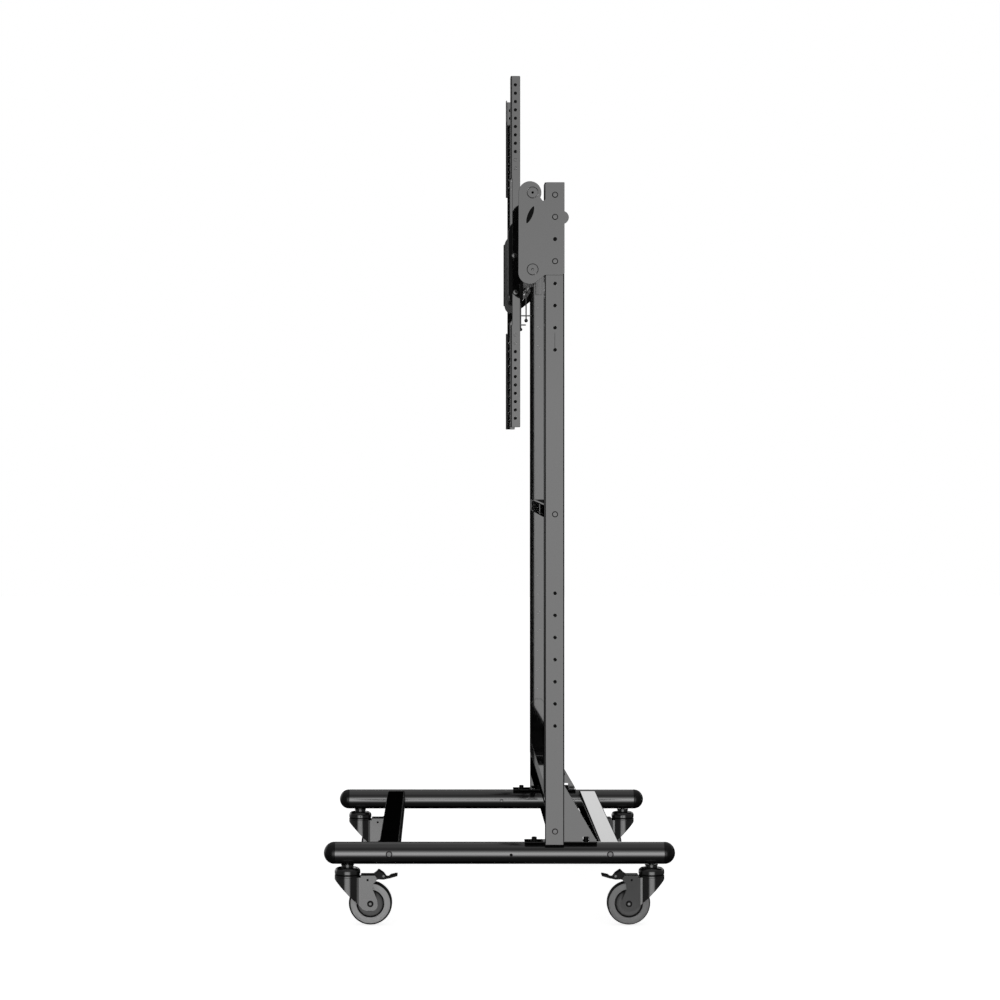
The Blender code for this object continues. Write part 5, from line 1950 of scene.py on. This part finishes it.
@dataclass
class Studio:
    """The camera, the pale floor and the soft light around the cart."""

    camera_place: tuple[float, float, float] = (6.5566, -0.13475, 1.0698)
    lens: float = 94.86
    sensor: float = 36.0
    sight: float = 60.0
    shift: tuple[float, float] = (0.059, -0.040)
    floor_half: float = 14.0
    floor_z: float = -0.0006
    near_edge: Point = (0.86, 0.995)
    back_edge: Point = (-0.3, -0.6)
    near_level: float = 3.2
    far_level: float = 0.87
    around_level: float = 1.0
    near_light: tuple[tuple[float, float], ...] = (
        (-90, 0.01),
        (-66, 0.016),
        (-54, 0.018),
        (-42, 0.03),
        (-31, 0.10),
        (-20, 0.52),
        (-9, 0.95),
        (1, 1.00),
        (12, 0.66),
        (22, 0.29),
        (33, 0.09),
        (43, 0.06),
        (55, 0.075),
        (66, 0.105),
        (78, 0.12),
        (90, 0.12),
    )
    around_light: tuple[tuple[float, float], ...] = (
        (-90, 0.03),
        (-30, 0.05),
        (-5, 0.15),
        (20, 0.15),
        (60, 0.3),
        (90, 0.38),
    )
    far_light: tuple[tuple[float, float], ...] = (
        (-90, 0.03),
        (-20, 0.03),
        (-6, 0.3),
        (0, 0.9),
        (3, 1.0),
        (14, 1.0),
        (24, 0.5),
        (33, 0.2),
        (56, 0.45),
        (74, 0.42),
        (90, 0.4),
    )
    # Dark patches of the far light: where each starts and ends along Y, then along Z
    flags: tuple[tuple[Point, Point, Point, Point], ...] = (
        ((-0.34, -0.26), (0.029, 0.034), BELOW, (0.4, 0.5)),
        ((-0.34, -0.26), (0.041, 0.046), (0.08, 0.10), (0.4, 0.5)),
        ((0.095, 0.11), BEYOND, BELOW, (0.2, 0.3)),
    )

    def build(self) -> None:
        """Makes the camera, the world and the floor."""
        self.camera()
        self.world()
        self.floor()
        bpy.context.scene.view_settings.view_transform = "Standard"

    def camera(self) -> None:
        """Places the level camera, which looks along -X."""
        data = bpy.data.cameras.new("camera")
        data.lens = self.lens
        data.sensor_width = self.sensor
        data.shift_x, data.shift_y = self.shift
        data.clip_end = self.sight
        obj = bpy.data.objects.new("camera", data)
        obj.location = self.camera_place
        obj.rotation_euler = (math.pi / 2, 0, math.pi / 2)
        bpy.context.scene.collection.objects.link(obj)
        bpy.context.scene.camera = obj

    def world(self) -> None:
        """Makes a world that the camera sees as white, and whose light is a bright low band on the near side."""
        world = bpy.data.worlds.new("studio")
        bpy.context.scene.world = world
        world.use_nodes = True
        world.node_tree.nodes.clear()
        graph = Graph(world.node_tree)
        where = graph.add("ShaderNodeTexCoord").outputs["Generated"]
        parts = graph.add("ShaderNodeSeparateXYZ", Vector=where).outputs
        level = graph.add("ShaderNodeCombineXYZ", X=parts["X"], Y=parts["Y"])
        round_level = graph.operate("ShaderNodeVectorMath", "NORMALIZE", level.outputs[0])
        heading = graph.add("ShaderNodeSeparateXYZ", Vector=round_level).outputs
        height = graph.add("ShaderNodeMapRange", Value=parts["Z"], From_Min=-1.0)
        near = self.step(graph, heading["X"], *self.near_edge)
        back = self.step(graph, heading["X"], *self.back_edge)
        flags = [self.flag(graph, parts, back, *limits) for limits in self.flags]
        shades = []
        for stops, strength in (
            (self.around_light, self.around_level),
            (self.far_light, self.far_level),
            (self.near_light, self.near_level),
        ):
            ramp = graph.add("ShaderNodeValToRGB", Fac=height.outputs["Result"])
            self.shape(ramp.color_ramp, stops)
            shades.append(graph.add("ShaderNodeBackground", Color=ramp.outputs["Color"], Strength=strength))
        black = graph.add("ShaderNodeBackground", Color=(0.0, 0.0, 0.0, 1.0), Strength=0.0)
        light = self.mixed(graph, back, shades[0], shades[1])
        for flag in flags:
            light = self.mixed(graph, flag, light, black)
        light = self.mixed(graph, near, light, shades[2])
        seen = graph.add("ShaderNodeLightPath").outputs["Is Camera Ray"]
        plain = graph.add("ShaderNodeBackground", Color=(1.0, 1.0, 1.0, 1.0), Strength=1.0)
        final = self.mixed(graph, seen, light, plain)
        graph.add("ShaderNodeOutputWorld", Surface=final.outputs["Shader"])

    def step(self, graph: Graph, value: bpy.types.NodeSocket, low: float, high: float) -> bpy.types.NodeSocket:
        """A soft step from 0 at one value to 1 at another.

        Args:
            graph: the world's nodes.
            value: the output that the step depends on.
            low: the value at which the step is 0.
            high: the value at which it is 1.

        Returns:
            The step's output.
        """
        node = graph.add("ShaderNodeMapRange", Value=value, From_Min=low, From_Max=high)
        node.interpolation_type = "SMOOTHSTEP"
        return node.outputs["Result"]

    def flag(
        self,
        graph: Graph,
        parts: bpy.types.bpy_prop_collection,
        back: bpy.types.NodeSocket,
        left: Point,
        right: Point,
        low: Point,
        high: Point,
    ) -> bpy.types.NodeSocket:
        """A dark patch on the far side, 1 inside and 0 outside.

        Args:
            graph: the world's nodes.
            parts: the parts of the direction.
            back: the share of the far side.
            left: where the patch starts and is full, along Y.
            right: where it ends, along Y.
            low: where it starts and is full, along Z.
            high: where it ends, along Z.

        Returns:
            The patch's share.
        """
        share = back
        for part, limits in (("Y", left), ("Y", right[::-1]), ("Z", low), ("Z", high[::-1])):
            share = graph.operate("ShaderNodeMath", "MULTIPLY", share, self.step(graph, parts[part], *limits))
        return share

    def shape(self, ramp: bpy.types.ColorRamp, stops: Sequence[tuple[float, float]]) -> None:
        """Sets a ramp over the sine of the elevation from stops of (elevation in degrees, brightness).

        Args:
            ramp: the ramp.
            stops: its stops.
        """
        while len(ramp.elements) < len(stops):
            ramp.elements.new(0.5)
        for element, (elevation, level) in zip(ramp.elements, stops):
            element.position = (math.sin(math.radians(elevation)) + 1) / 2
            element.color = (level, level, level, 1)

    def mixed(
        self, graph: Graph, share: bpy.types.NodeSocket, first: bpy.types.Node, second: bpy.types.Node
    ) -> bpy.types.Node:
        """Mixes two shaders by a share.

        Args:
            graph: the world's nodes.
            share: the share of the second shader.
            first: the shader at a share of 0.
            second: the shader at a share of 1.

        Returns:
            The node of the mix.
        """
        node = graph.add("ShaderNodeMixShader", Fac=share)
        for place, shader in ((1, first), (2, second)):
            graph.tree.links.new(shader.outputs[0], node.inputs[place])
        return node

    def floor(self) -> None:
        """Makes the plain pale floor, which the gloss of the cart doesn't show."""
        material = bpy.data.materials.new("pale_floor")
        material.use_nodes = True
        shader = material.node_tree.nodes["Principled BSDF"]
        shader.inputs["Base Color"].default_value = (0.95, 0.95, 0.95, 1)
        shader.inputs["Roughness"].default_value = 0.9
        shader.inputs["Emission Color"].default_value = (1, 1, 1, 1)
        shader.inputs["Emission Strength"].default_value = 0.8
        shader.inputs["Specular IOR Level"].default_value = 0.1
        bm = bmesh.new()
        half, z = self.floor_half, self.floor_z
        square = ((-half, -half, z), (half, -half, z), (half, half, z), (-half, half, z))
        bm.faces.new([bm.verts.new(corner) for corner in square])
        mesh = bpy.data.meshes.new("floor")
        bm.to_mesh(mesh)
        bm.free()
        mesh.materials.append(material)
        obj = bpy.data.objects.new("floor", mesh)
        bpy.context.scene.collection.objects.link(obj)
        obj.visible_glossy = False
        obj.visible_diffuse = False


def main() -> None:
    """Builds the studio and every sub-assembly."""
    logging.basicConfig(level=logging.INFO, format="%(name)s: %(message)s")
    Studio().build()
    shop = Workshop(Finishes(), RowTree(), PerforationTree())
    Base(shop).build()
    for side in Side:
        for end in End:
            Caster(shop, side, end).build()
        Upright(shop, side).build()
        ScreenSide(shop, side).build()
    Braces(shop).build()
    Mount(shop).build()


if __name__ == "__main__":
    main()
